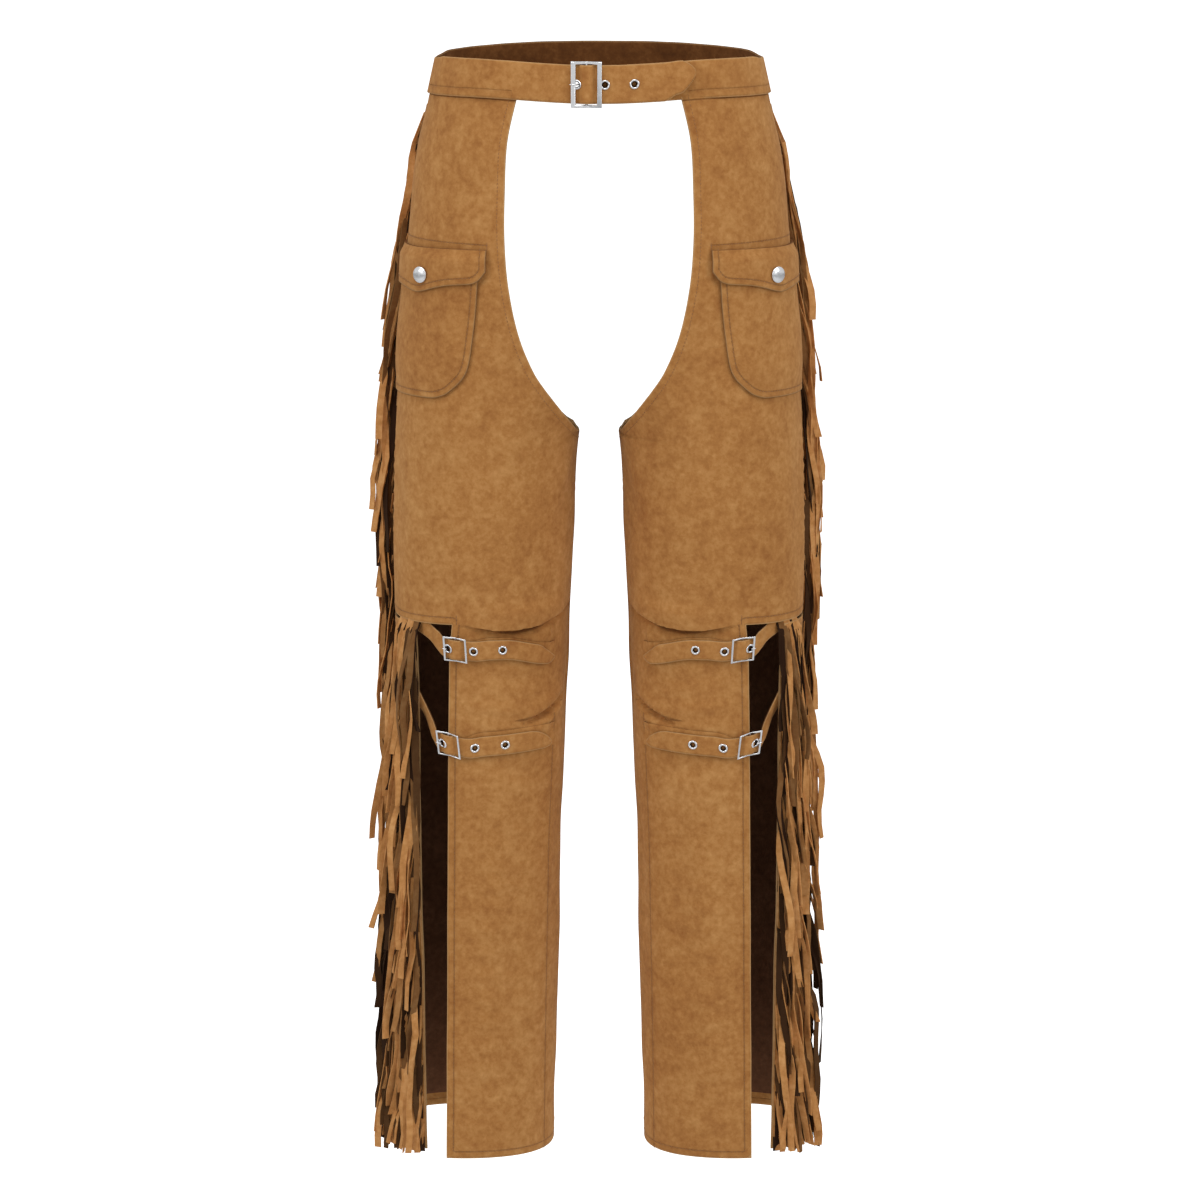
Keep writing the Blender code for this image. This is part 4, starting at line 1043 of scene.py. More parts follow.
def turned(rings, closed=True):
    """Verts and faces of a part through rings of points, either meeting itself or capped."""
    rings = np.asarray(rings)
    count, around = rings.shape[:2]
    faces = []
    for row in range(count if closed else count - 1):
        high, low = row * around, (row + 1) % count * around
        for k in range(around):
            after = (k + 1) % around
            faces.append((high + k, high + after, low + after, low + k))
    if not closed:
        faces += [tuple(range(around))[::-1], tuple((count - 1) * around + k for k in range(around))]
    return rings.reshape(-1, 3), faces


def strap_mesh(name, corners, wall, finishes, marks=None):
    """A strap through rows of four corners: top and bottom of its outer face, then of its inner. A
    third finish is that of its folded edges."""
    corners = np.asarray(corners)
    width = float(np.median(np.linalg.norm(corners[:, 0] - corners[:, 1], axis=1)))
    outline, shown = strap_outline(width, wall)
    share, level = outline[:, 0][None, :, None], outline[:, 1][None, :, None]
    top_out, low_out, top_in, low_in = (corners[:, k][:, None] for k in range(4))
    rings = spread(spread(top_in, low_in, share), spread(top_out, low_out, share), level)
    verts, faces = turned(rings, closed=False)
    row_finishes = [int(k >= shown) for k in range(len(outline))]
    # The folded edges take the third finish, a painted shadow
    if len(finishes) > 2:
        row_finishes[:2], row_finishes[shown - 3:shown] = [2] * 2, [2] * 3
    finish_of = row_finishes * (len(rings) - 1) + [0, 0]
    edge = np.minimum(outline[:, 0], 1 - outline[:, 0])[None, :] * np.linalg.norm(
        corners[:, 0] - corners[:, 1], axis=1)[:, None]
    marks = {"edge": edge, **(marks(rings) if marks else {})}
    return add_piece(
        name, verts, faces, finishes, finish_of, {m: v.ravel() for m, v in marks.items()}, sharp=60)


def punch(piece, place, fittings):
    """Cuts a round hole through a strap under each of its eyelets, and marks its rim as plain."""
    turns = np.linspace(0, 2 * np.pi, 21)[:-1]
    radius = fittings["eyelet"][1] + 0.0001
    verts, faces = [], []
    for u in fittings["eyelets"]:
        level = strap_level(fittings, u)
        hole, sides = turned([
            place(u + radius * np.cos(turns), radius * np.sin(turns), level + height)
            for height in (-0.0008, fittings["strap"] + 0.0010)
        ], closed=False)
        faces += [tuple(len(verts) + k for k in face) for face in sides]
        verts += list(hole)
    mesh = bpy.data.meshes.new("holes")
    mesh.from_pydata([tuple(v) for v in verts], [], outward(verts, faces))
    cutter = new_object("holes", mesh)
    step = piece.modifiers.new("holes", "BOOLEAN")
    step.object, step.solver = cutter, "EXACT"
    made = make_plain(piece)
    bpy.data.objects.remove(cutter)
    bpy.data.meshes.remove(mesh)
    for mark in MARKS:
        layer = made.attributes[mark].data
        values = np.zeros(len(made.vertices))
        layer.foreach_get("value", values)
        layer.foreach_set("value", np.where(np.abs(values) < 1e-6, HOLE_MARK, values))


def level_corners(place, fittings, u, top, bottom):
    """Rows of a strap's corners at places along it, between two heights across it."""
    level = strap_level(fittings, u)
    return np.stack([
        place(u, v, level + face) for face in (fittings["strap"], 0.0) for v in (top, bottom)
    ], axis=1)


def waistband():
    tip = np.array(TONGUE_TIP)
    u = np.concatenate((tip[:, 0], np.arange(0.0665, -0.0200, -0.0012)))
    top, bottom = (np.interp(-u, -tip[:, 0], tip[:, column]) for column in (1, 2))
    tongue = level_corners(belt_place, BELT_FITTINGS, u, top + BUCKLE_DROP, bottom + BUCKLE_DROP)
    start = angle_at(-BUCKLE_DROP, -(BUCKLE_X - 0.0330))
    end = 2 * np.pi + angle_at(-BUCKLE_DROP, -UNDERLAP_X)
    middle = np.array([-BUCKLE_DROP])
    angle = even_angles(middle, np.array([start]), np.array([end]), 210)[0]
    x = leg_points(LEFT, -BUCKLE_DROP, angle)[:, 0]
    sink = UNDERLAP_SINK * smooth((0.125 - x) / 0.045) * (angle > 2 * np.pi)
    sway = 0.0004 * np.sin(9 * angle) + 0.0003 * np.sin(23 * angle + 1)
    sway *= smooth((angle - start) / 0.3) * smooth((end - angle) / 0.6)
    hips = -0.0022 * smooth((np.abs(x) - 0.141) / 0.008)
    body = np.stack([
        belt_points(angle, v, face - sink + sway) for face in (BAND_WALL, 0.0) for v in (hips, -BAND_HEIGHT)
    ], axis=1)

    def marks(rings):
        below = rings[..., 2] - band_rise(rings) + BAND_HEIGHT
        on_panel = np.abs(rings[..., 0]) > np.where(rings[..., 1] < 0, *BAND_SEWN)
        return {"row": np.where(on_panel, below - BAND_ROW, FAR_OFF)}

    made = strap_mesh("waist_band", np.concatenate((tongue, body)), BAND_WALL, (SUEDE, INSIDE), marks)
    punch(made, belt_place, BELT_FITTINGS)
    dress(made, "waistband")


waistband()

# Fringe
#
# A strip of the same suede down each outer seam, in two lengths with the upper leg strap between
# them, slit into flat strands about 6 mm wide. They hang straight down over the back panel, curl a
# little, and lie over one another.

FRINGES = {
    "thigh": {"top": -0.046, "end": -0.508, "strands": 96, "fan": (-0.0010, 0.0165), "splay": 0.003},
    "shin": {"top": -0.517, "end": -1.000, "strands": 110, "fan": (-0.0060, 0.0280), "splay": 0.013},
}
# Places along the cloth where strands come out from under the thigh's hem, and how far they start
# above it
UNDER_HEM, HIDDEN_ROOT = tuple(-0.003 + 0.0013 * k for k in range(22)), 0.008
# Painted light of the strands: those deep near the leg are painted dark as in shade, those that stand out
# keep their colour
STRAND_PAINTED_LIGHT = (0.0, 0.03, 0.12, 0.35, 0.70, 1.0, 1.0, 1.0)
FRINGE_WIDTH, FRINGE_WALL = 0.0096, 0.0011
STRAND_LENGTH, STRAND_WIDTH, STRAND_WALL, STRAND_DRIFT = 0.190, 0.0060, 0.0009, 0.080
STRAND_POINTS, SHORTEST_STRAND = 15, 0.014


def fringe_start(z, height):
    """Angle of a strip's front edge: behind the outer seam on the thigh, along the slit below it."""
    if height == "thigh":
        return SEAM_ANGLE + 0.0015 / leg_section(z)[3]
    return angle_at(z, lookup(SLIT, SLIT_COLUMNS, "back_free", z)) + 0.0010 / leg_section(z)[3]


def beside(side, z, angle, along, lift):
    """Points on the leg, along the cloth from those at that angle."""
    step = 0.002
    stride = np.linalg.norm(leg_points(side, z, angle + step) - leg_points(side, z, angle), axis=-1)
    return leg_points(side, z, angle + along * step / stride, lift)


def strand_tree():
    """Turns each guide line into one flat strand that sways and twists the more the lower it is."""
    tree = bpy.data.node_groups.new("fringe strands", "GeometryNodeTree")
    given = node_inputs(tree, (
        ("Geometry", "Geometry", None), ("Wall", "Float", 0.001), ("Sway", "Float", 0.006),
        ("Twist", "Float", 1.6), ("Seed", "Float", 1.0), ("Finish", "Material", None),
    ))

    def named(name, kind="FLOAT_VECTOR"):
        return result(tree, "GeometryNodeInputNamedAttribute", {"Name": name}, data_type=kind)

    def vector(operation, first, second):
        key = "Scale" if operation == "SCALE" else 1
        return result(tree, "ShaderNodeVectorMath", {0: first, key: second}, operation=operation)

    drop, breadth, strand = (named(name, "FLOAT") for name in ("drop", "breadth", "strand"))
    where = result(tree, "GeometryNodeInputPosition")
    own = number(tree, "MULTIPLY_ADD", strand, 3.7, given["Seed"])
    wave = add_node(tree, "ShaderNodeTexNoise", {
        "Vector": where, "W": own, "Scale": 12.0, "Detail": 1.0,
    }, noise_dimensions="4D")
    sway = vector("SUBTRACT", wave.outputs["Color"], (0.5, 0.5, 0.5))
    sway = vector("MULTIPLY", sway, (1.0, 1.0, 0.15))
    sway = vector("SCALE", sway, number(tree, "MULTIPLY", drop, given["Sway"]))
    turn = result(tree, "ShaderNodeTexNoise", {
        "Vector": where, "W": number(tree, "ADD", own, 40.0), "Scale": 8.0, "Detail": 0.0,
    }, noise_dimensions="4D")
    turn = number(tree, "MULTIPLY", number(tree, "SUBTRACT", turn, 0.5), given["Twist"])
    broad = result(tree, "ShaderNodeVectorRotate", {
        "Vector": named("broad"), "Center": (0, 0, 0), "Axis": (0, 0, 1),
        "Angle": number(tree, "MULTIPLY", turn, drop),
    }, rotation_type="AXIS_ANGLE")
    kept = result(tree, "GeometryNodeStoreNamedAttribute", {
        "Geometry": given["Geometry"], "Name": "across", "Value": vector("SCALE", broad, breadth),
    }, data_type="FLOAT_VECTOR", domain="POINT")
    moved = result(tree, "GeometryNodeSetPosition", {"Geometry": kept, "Offset": sway})
    across = named("across")
    moved = result(tree, "GeometryNodeSetPosition", {
        "Geometry": moved, "Offset": vector("SCALE", across, -0.5),
    })
    ribbon = result(tree, "GeometryNodeExtrudeMesh", {
        "Mesh": moved, "Offset": across, "Offset Scale": 1.0,
    }, mode="EDGES")
    solid = result(tree, "GeometryNodeExtrudeMesh", {
        "Mesh": ribbon, "Offset Scale": given["Wall"], "Individual": False,
    }, mode="FACES")
    both = add_node(tree, "GeometryNodeJoinGeometry", {"Geometry": solid})
    feed(tree, both, {"Geometry": result(tree, "GeometryNodeFlipFaces", {"Mesh": ribbon})})
    closed = result(tree, "GeometryNodeMergeByDistance", {
        "Geometry": both.outputs[0], "Distance": 0.00001,
    })
    finish_tree(tree, closed, given["Finish"])
    return tree


STRAND_TREE = strand_tree()
# The strands' suede: the same as the rest, its colours painted lighter to make up for the shade the strands
# cast on one another
LIGHTENED_FRINGE_SUEDE = suede_finish("suede of the fringe, painted lighter", {
    "Dark": colour(172, 115, 64), "Middle": colour(198, 140, 84), "Light": colour(220, 166, 108),
}, clouds=90.0, sheen=0.10, painted_light="painted_light")


def strands(side, label, height):
    """A strip's strands, each on a guide line down from its root, grown into flat cut suede."""
    spec = FRINGES[height]
    dice = np.random.default_rng(7 if height == "thigh" else 11)
    roots = np.linspace(spec["top"], spec["end"], spec["strands"] + 1)[1:]
    under_hem = UNDER_HEM if height == "shin" else ()
    roots = np.concatenate((np.full(len(under_hem), THIGH_HEM + HIDDEN_ROOT), roots))
    verts, edges, broads = [], [], []
    marks = {name: [] for name in ("drop", "breadth", "strand", "painted_light")}
    for k, root in enumerate(roots):
        length = STRAND_LENGTH * (1 + 0.05 * dice.standard_normal())
        room = root - HEM_FRONT - 0.004
        length = max(min(length, room - 0.010 * dice.random()), SHORTEST_STRAND)
        column = (k * 0.618 + 0.1 * dice.random()) % 1.0
        begin = FRINGE_WIDTH * (0.25 + 0.5 * dice.random())
        end = spread(*spec["fan"], column) + 0.0012 * dice.standard_normal()
        if k < len(under_hem):
            begin = under_hem[k]
            end = begin + 0.003 * dice.standard_normal()
            length *= 0.55 + 0.45 * dice.random()
        drop = np.linspace(0, length, STRAND_POINTS)
        along = begin + (end - begin) * smooth(0.15 + drop / 0.130)
        out = dice.random()
        drift = STRAND_DRIFT * (0.20 + 0.80 * out)
        lift = SEAM_GAP + FRINGE_WALL + 0.0006 + drift * drop
        if k < len(under_hem):
            lift = lift - 0.0062 * (1 - smooth((drop - 0.004) / 0.016))
        z = root - drop
        angle = np.full(STRAND_POINTS, fringe_start(root, height))
        line = beside(side, z, angle, along, lift)
        splay = spec["splay"] * column * (0.3 + 0.7 * dice.random())
        line[:, 0] += side * splay * smooth(drop / 0.150)
        broad = beside(side, z, angle, along + 0.002, lift) - line
        broad /= np.linalg.norm(broad, axis=1)[:, None]
        turn = 0.5 * dice.standard_normal()
        facing = np.array((math.cos(turn), math.sin(turn), 0.0)) * np.sign(broad[0, 0] or 1.0)
        broad = spread(broad, facing, smooth(drop / 0.045)[:, None])
        broad /= np.linalg.norm(broad, axis=1)[:, None]
        base = len(verts)
        verts += list(line)
        edges += [(base + i, base + i + 1) for i in range(STRAND_POINTS - 1)]
        broads += list(broad)
        wide = STRAND_WIDTH * (0.85 + 0.3 * dice.random())
        place = np.clip(out + 0.18 * dice.standard_normal(), 0.0, 0.999)
        # Strands that stand out less from the leg are painted darker, as in shade
        painted_light = STRAND_PAINTED_LIGHT[int(place * len(STRAND_PAINTED_LIGHT))]
        marks["drop"] += list(smooth(drop / 0.08))
        for name, value in (("breadth", wide), ("strand", float(k)), ("painted_light", painted_light)):
            marks[name] += [value] * STRAND_POINTS
    marks.update({mark: [FAR_OFF] * len(verts) for mark in MARKS})
    mesh = bpy.data.meshes.new(f"strands_{height}_{label}")
    mesh.from_pydata([tuple(v) for v in verts], edges, [])
    for mark, values in marks.items():
        mesh.attributes.new(mark, "FLOAT", "POINT").data.foreach_set("value", values)
    mesh.attributes.new("broad", "FLOAT_VECTOR", "POINT").data.foreach_set("vector", np.ravel(broads))
    made = new_object(mesh.name, mesh)
    grow(made, STRAND_TREE, {
        "Wall": STRAND_WALL, "Sway": 0.030, "Twist": 6.0, "Seed": 3.0 + side, "Finish": LIGHTENED_FRINGE_SUEDE,
    })
    made.data.shade_smooth()
    made.data.set_sharp_from_angle(angle=math.radians(50))
    dress(made)
    return made


def fringe_strip(side, label, height):
    """The narrow strip, sewn down, that the strands are cut from."""
    spec = FRINGES[height]
    z = np.linspace(spec["top"], spec["end"], 110)[:, None]
    along = np.linspace(0, FRINGE_WIDTH, 4)[None, :]
    angle = fringe_start(z, height)
    faces = [
        beside(side, z, angle, along, lift + relief(z, angle))
        for lift in (SEAM_GAP + FRINGE_WALL, SEAM_GAP)
    ]
    for face in faces:
        face[..., 2] += band_pull(face, z)
    made = shell(f"fringe_strip_{height}_{label}", faces[0], faces[1], (SUEDE, INSIDE, CUT_EDGE))
    dress(made, f"fringe_{height}_{label}")
    return made


for side, label in SIDES:
    back, sewn = backs[side]
    hung = [make(side, label, height) for height in FRINGES for make in (strands, fringe_strip)]

# Leg straps
#
# Two narrow straps a leg, sewn to the back panel's free edge. Each crosses the slit, comes up through
# its buckle and lies over the front of the shin, and can be let out by its three eyelets.

STRAP_WALL, LEG_STRAP_WIDTH = 0.0014, 0.0188
LEG_FITTINGS = {
    "frame": (0.0202, 0.0228), "side_bar": 0.0018, "rail": 0.0016, "bar_level": 0.0042,
    "bar_thick": 0.0019, "centre_level": 0.0024, "centre_radius": 0.0006, "strap": STRAP_WALL,
    "base": 0.0018, "rise": 0.0030, "tab": 0.0007, "tab_width": 0.0180, "prong": 0.0005,
    "eyelet": (0.0019, 0.0024, 0.0042),
}
LEG_STRAPS = {
    "upper": {
        "reach": 0.1302, "z": -0.5310, "turn": -0.14, "tip": 0.0906, "bend": -0.0085,
        "bend_start": 0.045, "eyelets": (-0.0066, 0.0160, 0.0426), "tab_length": 0.0925,
        "tab_offset": 0.0022, "lean": 0.06,
    },
    "lower": {
        "reach": 0.1368, "z": -0.6205, "turn": -0.22, "tip": 0.0915, "bend": 0.0040,
        "bend_start": 0.012, "eyelets": (-0.0052, 0.0233, 0.0504), "tab_length": 0.0950,
        "tab_offset": 0.0040, "lean": 0.10,
    },
}
# Each tip's outline: distance back from its end, and its edges as shares of half the width
STRAP_TIPS = {
    "upper": (
        (0.0145, 1.0, -1.0), (0.0115, 0.88, -1.0), (0.0062, 0.45, -1.0), (0.0030, 0.12, -0.85),
        (0.0008, -0.15, -0.60), (0.0, -0.25, -0.45),
    ),
    "lower": (
        (0.0175, 1.0, -1.0), (0.0120, 0.86, -1.0), (0.0065, 0.50, -1.0), (0.0028, 0.08, -0.92),
        (0.0008, -0.25, -0.78), (0.0, -0.42, -0.65),
    ),
}
# Distances back from the tip of the sections that round it off
TIP_SECTIONS = (
    0.0170, 0.0150, 0.0130, 0.0110, 0.0092, 0.0076, 0.0062, 0.0050, 0.0038, 0.0026, 0.0016, 0.0008, 0.0,
)
# The way from the back panel to the buckle: reach and height of the strap's top edge and of its
# bottom one, its distance from the leg's face, and how much nearer the front the top edge is
WAYS = {
    "upper": (
        (0.1750, -0.4975, 0.1740, -0.5145, -0.0050, 0.0),
        (0.1668, -0.5020, 0.1665, -0.5190, -0.0048, 0.0),
        (0.1588, -0.5069, 0.1590, -0.5229, -0.0045, 0.0),
        (0.1540, -0.5102, 0.1532, -0.5272, -0.0040, 0.0),
        (0.1498, -0.5122, 0.1478, -0.5315, -0.0012, 0.0),
        (0.1445, -0.5154, 0.1438, -0.5352, 0.0008, 0.0),
    ),
    "lower": (
        (0.1700, -0.5680, 0.1795, -0.5770, -0.0034, 0.0),
        (0.1655, -0.5765, 0.1745, -0.5830, -0.0034, 0.0),
        (0.1590, -0.5880, 0.1665, -0.5910, -0.0040, 0.006),
        (0.1523, -0.5994, 0.1600, -0.6000, -0.0030, 0.012),
        (0.1488, -0.6055, 0.1522, -0.6160, 0.0, 0.004),
    ),
}


def strap_place(side, spec):
    """place(u, v, d) for a leg strap, askew at its buckle and straightened beyond it."""

    def place(u, v, d):
        u, v, d = np.broadcast_arrays(np.asarray(u, float), v, d)
        straight = smooth((u - 0.010) / 0.022)
        turn = spec["turn"] * (1 - straight)
        bend = spec["bend"] * smooth((u - spec["bend_start"]) / (spec["tip"] - spec["bend_start"]))
        reach = spec["reach"] - u * np.cos(turn) + v * spec["lean"] * (1 - straight)
        z = spec["z"] + v * np.cos(turn) + u * np.sin(turn) + spec["turn"] * 0.010 * straight + bend
        angle = angle_at(z, reach)
        return leg_points(side, z, angle, d + relief(z, angle))

    return place


def way_corners(side, way):
    """Rows of corners of the strap's way to the buckle, with its wall square to it."""
    way = np.array(way)
    fine = np.linspace(0, len(way) - 1, 4 * len(way))
    slopes = np.gradient(way, axis=0)
    i = np.clip(fine.astype(int), 0, len(way) - 2)
    way = hermite((fine - i)[:, None], 1, way[i], way[i + 1], slopes[i], slopes[i + 1])
    top_reach, top_z, bottom_reach, bottom_z, lift, tip = way.T
    forward = np.outer(tip, (0, -0.5, 0))
    top = leg_points(side, top_z, angle_at(top_z, top_reach), lift) + forward
    bottom = leg_points(side, bottom_z, angle_at(bottom_z, bottom_reach), lift) - forward
    along = np.gradient((top + bottom) / 2, axis=0)
    out = np.cross(along, top - bottom)
    out *= -side * STRAP_WALL / np.linalg.norm(out, axis=1)[:, None]
    return np.stack((top + out, bottom + out, top, bottom), axis=1)


def leg_strap(side, label, height):
    spec = LEG_STRAPS[height]
    fittings = {**LEG_FITTINGS, **spec}
    place = strap_place(side, spec)
    tip, half = spec["tip"], LEG_STRAP_WIDTH / 2
    u = np.concatenate((
        np.arange(-fittings["frame"][0] / 2, tip - 0.018, 0.0014), tip - np.array(TIP_SECTIONS),
    ))
    back, upper, lower = np.array(STRAP_TIPS[height]).T
    top, bottom = (half * np.interp(u, tip - back, share) for share in (upper, lower))
    free_end = level_corners(place, fittings, u, top, bottom)
    corners = np.concatenate((way_corners(side, WAYS[height]), free_end))
    made = strap_mesh(f"leg_strap_{height}_{label}", corners, STRAP_WALL, (SUEDE, INSIDE, EDGE_IN_PAINTED_SHADOW))
    punch(made, place, fittings)
    dress(made, f"strap_{height}_{label}")


for side, label in SIDES:
    for height in LEG_STRAPS:
        leg_strap(side, label, height)

# Buckles, tabs, eyelets and snaps
#
# Bright plated metal with fine wear: wire buckles with their prongs, eyelets rolled to a round rim,
# and plain domed snap caps. The suede tabs that hold the buckles are here too.


def metal_finish(name, shade=None):
    """Plating with fine wear, or, given a shade, one flat dark colour painted as the shade inside an
    eyelet.
    """
    made, tree, shader = new_finish(name)
    wear = noise(tree, add_node(tree, "ShaderNodeTexCoord").outputs["Object"], 240.0, 4.0)
    rough = result(tree, "ShaderNodeMapRange", {
        "Value": wear, "From Min": 0.3, "From Max": 0.7, "To Min": 0.14, "To Max": 0.30,
    })
    bright = blend(tree, wear, colour(214, 216, 220), colour(240, 241, 243))
    feed(tree, shader, {
        "Roughness": rough, "Base Color": shade or bright, "Metallic": 0.0 if shade else 1.0,
    })
    return made


METAL = metal_finish("bright plated metal")
# A dark, dull colour on the eyelets' inner walls: painted shade in the hole
SHADED_METAL = metal_finish("painted shade inside the eyelets", colour(58, 42, 32))


def buckle(name, node, place, fittings, bevel):
    """A rectangular frame, bowed back to the centre bar under its strap."""
    length, height = fittings["frame"]
    side_bar, rail, centre = fittings["side_bar"], fittings["rail"], fittings["centre_radius"]
    far, high = length / 2, height / 2
    u_lines = np.array((-far, side_bar - far, -centre, centre, far - side_bar, far))
    v_lines = np.array((-high, rail - high, high - rail, high))
    proud = fittings["bar_level"] + fittings["bar_thick"]
    sunk = fittings["centre_level"] + centre
    tops = np.array((proud, proud, sunk, sunk, proud, proud))
    depths = np.array([fittings["bar_thick"]] * 2 + [2 * centre] * 2 + [fittings["bar_thick"]] * 2)
    keep = np.ones((5, 3), bool)
    keep[[1, 3], 1] = False
    faces = [place(u_lines[:, None], v_lines[None, :], (tops - sink)[:, None]) for sink in (0.0, depths)]
    made = shell(name, faces[0], faces[1], (METAL, METAL, METAL), keep)
    made.data.uv_layers.remove(made.data.uv_layers[0])
    step = made.modifiers.new("rounded bars", "BEVEL")
    step.width, step.segments, step.limit_method = bevel, 4, "ANGLE"
    step.angle_limit = math.radians(40)
    step.harden_normals = True
    dress(made, node)


def prong(name, node, place, fittings):
    """A wire looped round the centre bar, up through the eyelet and over the far side bar."""
    level, wire = fittings["centre_level"], fittings["prong"]
    half = fittings["frame"][0] / 2
    loop = 1.45 * fittings["centre_radius"] + SEAM_GAP + wire
    rest = fittings["bar_level"] + fittings["bar_thick"] + SEAM_GAP + wire
    eyelet_edge = fittings["eyelets"][0] - fittings["eyelet"][0]
    up = max(eyelet_edge, fittings["side_bar"] - half) + wire + SEAM_GAP
    low = level - loop
    route = [
        (loop * math.cos(turn), level + loop * math.sin(turn))
        for turn in (math.radians(a) for a in (110, 60, 10, -40, -90))
    ]
    route += [
        (up + 0.0016, low + 0.0001), (up + 0.0003, low + 0.0012), (up, fittings["bar_level"]),
        (up, rest - 0.0006), (up - 0.0006, rest), (wire - half, rest), (-half - 0.0006, rest - 0.0004),
    ]
    route = np.array(route)
    way = np.gradient(route, axis=0)
    way /= np.linalg.norm(way, axis=1)[:, None]
    turns = np.linspace(0, 2 * np.pi, 13)[:-1]
    radius = np.full((len(route), 1), wire)
    radius[-1] *= 0.55
    u = route[:, :1] - way[:, 1:] * (radius * np.cos(turns))
    d = route[:, 1:] + way[:, :1] * (radius * np.cos(turns))
    rings = place(u, radius * np.sin(turns), d)
    made = add_piece(name, *turned(rings, closed=False), (METAL,), sharp=60)
    dress(made, node)


def eyelet(name, node, place, fittings, u0):
    """A flanged tube set through the strap, its flange rolled to a round rim. Its far end is curled in
    unless the prong goes through it."""
    curled = u0 > 0.012
    bore, barrel, flange = fittings["eyelet"]
    below, seat, crown = -fittings["strap"] - 0.0004, SEAM_GAP * 0.3, 0.00076
    throat = bore + 0.0005
    middle, half = (throat + flange) / 2, (flange - throat) / 2
    mouth = 0.72 * bore if curled else bore
    profile = [(mouth, below), (barrel, below), (barrel, seat), (flange * 0.98, seat)]
    profile += [
        (middle + half * math.cos(turn), SEAM_GAP + crown * math.sin(turn))
        for turn in np.linspace(0.15, math.pi - 0.1, 7)
    ]
    turns = np.linspace(0, 2 * np.pi, 29)[:-1]
    rings = []
    for radius, height in profile:
        u, v = u0 + radius * np.cos(turns), radius * np.sin(turns)
        rings.append(place(u, v, strap_level(fittings, u) + fittings["strap"] + height))
    made = add_piece(name, *turned(rings), (METAL, SHADED_METAL))
    dress(made, node)
    around = len(turns)
    # The faces that close the profile, the eyelet's inner wall, take the painted shade
    for face in made.data.polygons:
        if min(face.vertices) < around and max(face.vertices) >= (len(profile) - 1) * around:
            face.material_index = 1


def tab(name, node, place, fittings):
    """The strip that holds the buckle: under the strap, round the centre bar and back over it."""
    level, thick = fittings["centre_level"], fittings["tab"]
    wrap = 1.45 * fittings["centre_radius"] + SEAM_GAP + thick
    low = level - wrap
    flat = max(low, 2 * SEAM_GAP) if low > 0 else low
    length, half = fittings["tab_length"], fittings["tab_width"] / 2
    slot = fittings["prong"] + SEAM_GAP
    near_end = 0.10 * length
    route = [(u, flat) for u in np.arange(length, near_end, -0.0018)] + [(near_end, flat)]
    straight = len(route)
    route += [
        (wrap * math.cos(turn), level + wrap * math.sin(turn))
        for turn in np.radians(np.linspace(-90, -340, 22))
    ]
    route = np.array(route)
    way = np.gradient(route, axis=0)
    way /= np.linalg.norm(way, axis=1)[:, None]
    rise = fittings["tab_offset"] * smooth((route[:, 0] - 0.011) / 0.015)
    low_edge = np.linspace(-half, -slot, 5)[None, :] + 0 * rise[:, None]
    high_edge = slot + (half + rise[:, None] - slot) * np.linspace(0, 1, 5)
    v = np.concatenate((low_edge, high_edge), axis=1)
    faces = [
        place(route[:, :1] - way[:, 1:] * lift, v, route[:, 1:] + way[:, :1] * lift)
        for lift in (0.0, -thick)
    ]
    keep = np.ones((len(route) - 1, 9), bool)
    keep[straight - 1:, 4] = False
    made = shell(name, faces[0], faces[1], (INSIDE, SUEDE, EDGE_IN_PAINTED_SHADOW), keep)
    dress(made, node)


SNAP_Z, SNAP_REACH, SNAP_TURN = -0.1896, 0.1532, math.radians(13)
SNAP_RADIUS, SNAP_HEIGHT = 0.0073, 0.0024
# The cap from its foot to its crown: shares of its radius and of its height
SNAP_PROFILE = (
    (0.0, 0.0), (0.95, 0.0), (1.0, 0.10), (1.0, 0.30), (0.97, 0.42), (0.91, 0.47), (0.86, 0.44),
    (0.84, 0.52), (0.74, 0.70), (0.58, 0.86), (0.36, 0.96), (0.16, 1.0), (0.0, 1.0),
)


def snap(side, label):
    """Plain domed cap with a rolled rim, flat on the flap at its foot and turned a little to the
    front above that."""
    angle = angle_at(SNAP_Z, SNAP_REACH)
    over = pocket_lift(SNAP_Z, angle) + LAYER_GAP + FLAP_WALL
    base = cloth_points(side, SNAP_Z, angle, over + 2 * SEAM_GAP)
    out = cloth_points(side, SNAP_Z, angle, over + 0.004) - base
    out /= np.linalg.norm(out)
    turns = np.linspace(0, 2 * np.pi, 41)[:-1, None]
    rings = []
    for k, (share, rise) in enumerate(SNAP_PROFILE):
        turn = 0.0 if k < 2 else SNAP_TURN
        facing = np.array(Matrix.Rotation(-side * turn, 3, "Z")) @ out
        across = np.cross((0, 0, 1), facing)
        across /= np.linalg.norm(across)
        up = np.cross(facing, across)
        centre = base + out * (SNAP_RADIUS * math.sin(turn)) + facing * (SNAP_HEIGHT * rise)
        ring = across * np.cos(turns) + up * np.sin(turns)
        rings.append(centre + ring * (SNAP_RADIUS * max(share, 0.01)))
    made = add_piece(f"snap_cap_{label}", *turned(rings, closed=False), (METAL,), sharp=70)
    dress(made, f"snap_{label}")


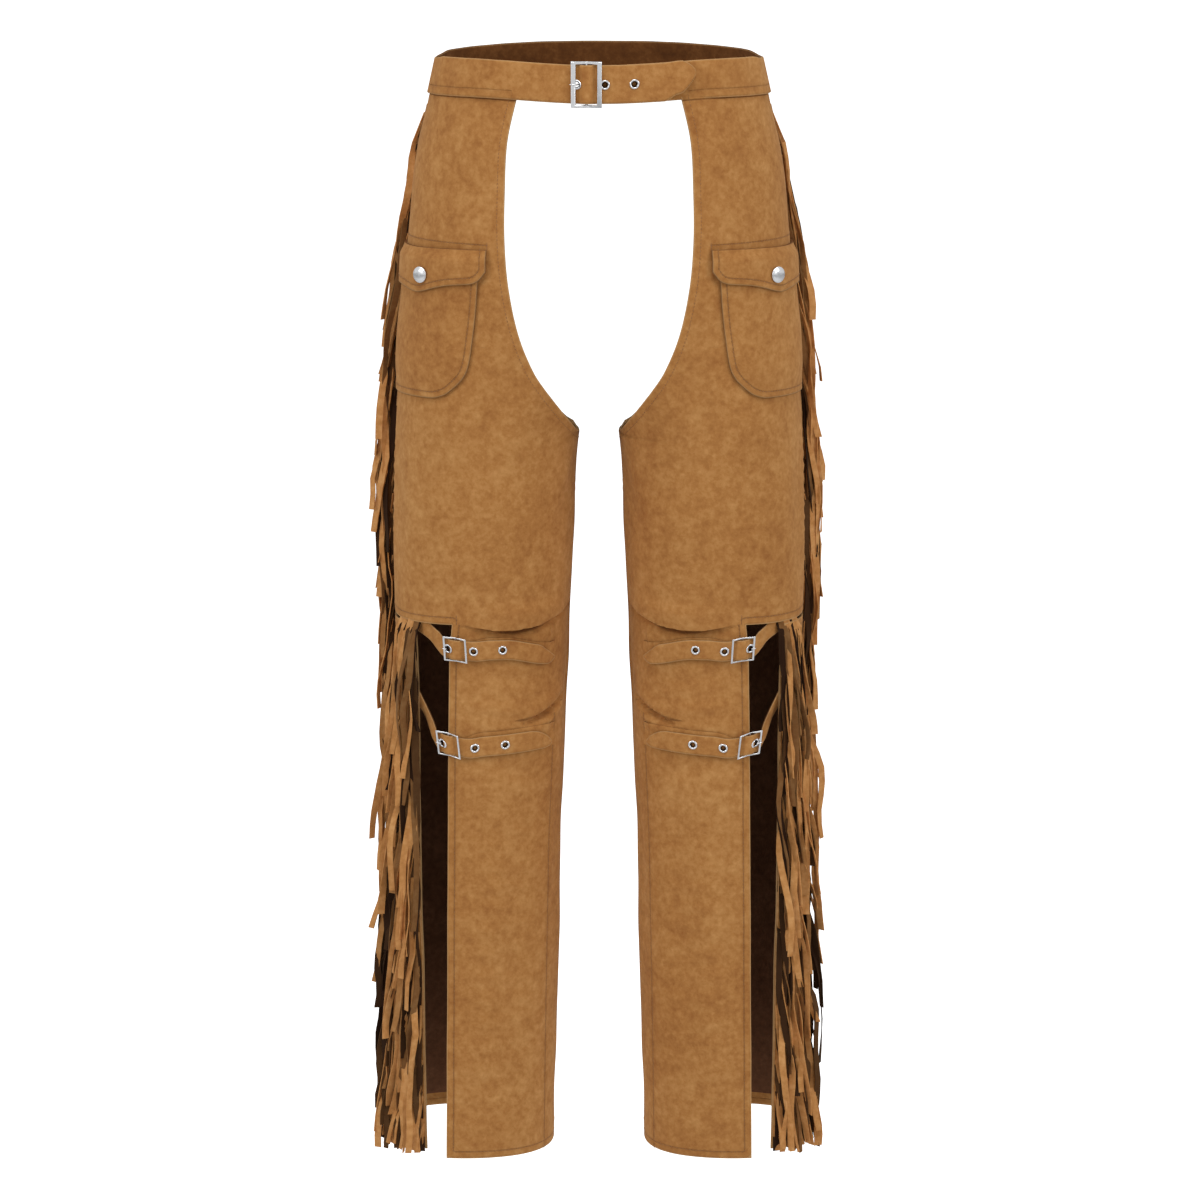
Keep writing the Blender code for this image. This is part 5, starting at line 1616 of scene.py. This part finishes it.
buckle("waist_buckle", "belt_buckle", belt_place, BELT_FITTINGS, 0.0008)
prong("waist_prong", "belt_prong", belt_place, BELT_FITTINGS)
tab("waist_tab", "belt_tab", belt_place, BELT_FITTINGS)
for k, u in enumerate(BELT_FITTINGS["eyelets"]):
    eyelet(f"waist_eyelet_{k + 1}", f"belt_eyelet_{k + 1}", belt_place, BELT_FITTINGS, u)
for side, label in SIDES:
    snap(side, label)
    for height, spec in LEG_STRAPS.items():
        fittings, place = {**LEG_FITTINGS, **spec}, strap_place(side, spec)
        end = f"{height}_{label}"
        buckle(f"leg_buckle_{end}", f"buckle_{end}", place, fittings, 0.0006)
        prong(f"leg_prong_{end}", f"prong_{end}", place, fittings)
        tab(f"leg_tab_{end}", f"tab_{end}", place, fittings)
        for k, u in enumerate(spec["eyelets"]):
            eyelet(f"leg_eyelet_{end}_{k + 1}", f"eyelet_{end}_{k + 1}", place, fittings, u)

# Floor, light and camera
#
# A plain white floor well below the hems, even white surroundings, and three large soft lamps: one
# on each side and one overhead. The camera looks down a little from just above the waist.


def floor(size, low):
    mesh = bpy.data.meshes.new("floor")
    corners = [(x * size, y * size, low) for x, y in ((-1, -1), (1, -1), (1, 1), (-1, 1))]
    mesh.from_pydata(corners, [], [(0, 1, 2, 3)])
    finish, tree, shader = new_finish("white paper")
    seen = add_node(tree, "ShaderNodeLightPath").outputs["Is Camera Ray"]
    feed(tree, shader, {
        "Base Color": (0.9, 0.9, 0.9, 1), "Roughness": 0.9, "Emission Color": (1, 1, 1, 1),
        "Emission Strength": number(tree, "MULTIPLY_ADD", seen, 0.90, 0.05),
    })
    mesh.materials.append(finish)
    new_object("floor", mesh)


def aim(made, place, target):
    made.location = place
    made.rotation_euler = (Vector(target) - Vector(place)).to_track_quat("-Z", "Y").to_euler()


def lamp(name, place, target, size, power):
    data = bpy.data.lights.new(name, "AREA")
    data.shape, data.size, data.energy = "SQUARE", size, power
    aim(new_object(name, data), place, target)


floor(60.0, -1.30)
lamp("left softbox", (-3.0, -1.9, 1.3), (0, 0, -0.5), 1.6, 35)
lamp("right softbox", (3.0, -1.9, 1.3), (0, 0, -0.5), 1.6, 35)
lamp("top softbox", (0, -1.5, 2.5), (0, 0, -0.4), 1.4, 28)

world = bpy.data.worlds.new("white studio")
world.use_nodes = True
rays = add_node(world.node_tree, "ShaderNodeLightPath").outputs
strength = number(world.node_tree, "MULTIPLY_ADD", rays["Is Camera Ray"], 0.70, 0.35)
strength = number(world.node_tree, "MULTIPLY_ADD", rays["Is Glossy Ray"], 0.40, strength)
feed(world.node_tree, world.node_tree.nodes["Background"], {"Color": (1, 1, 1, 1), "Strength": strength})
bpy.context.scene.world = world
bpy.context.scene.view_settings.view_transform = "Standard"

camera_data = bpy.data.cameras.new("camera")
camera_data.angle = math.radians(17.616)
camera = new_object("camera", camera_data)
aim(camera, (0.0009, -3.533858, 0.186266), (0.0009, 0, -0.500646))
bpy.context.scene.camera = camera
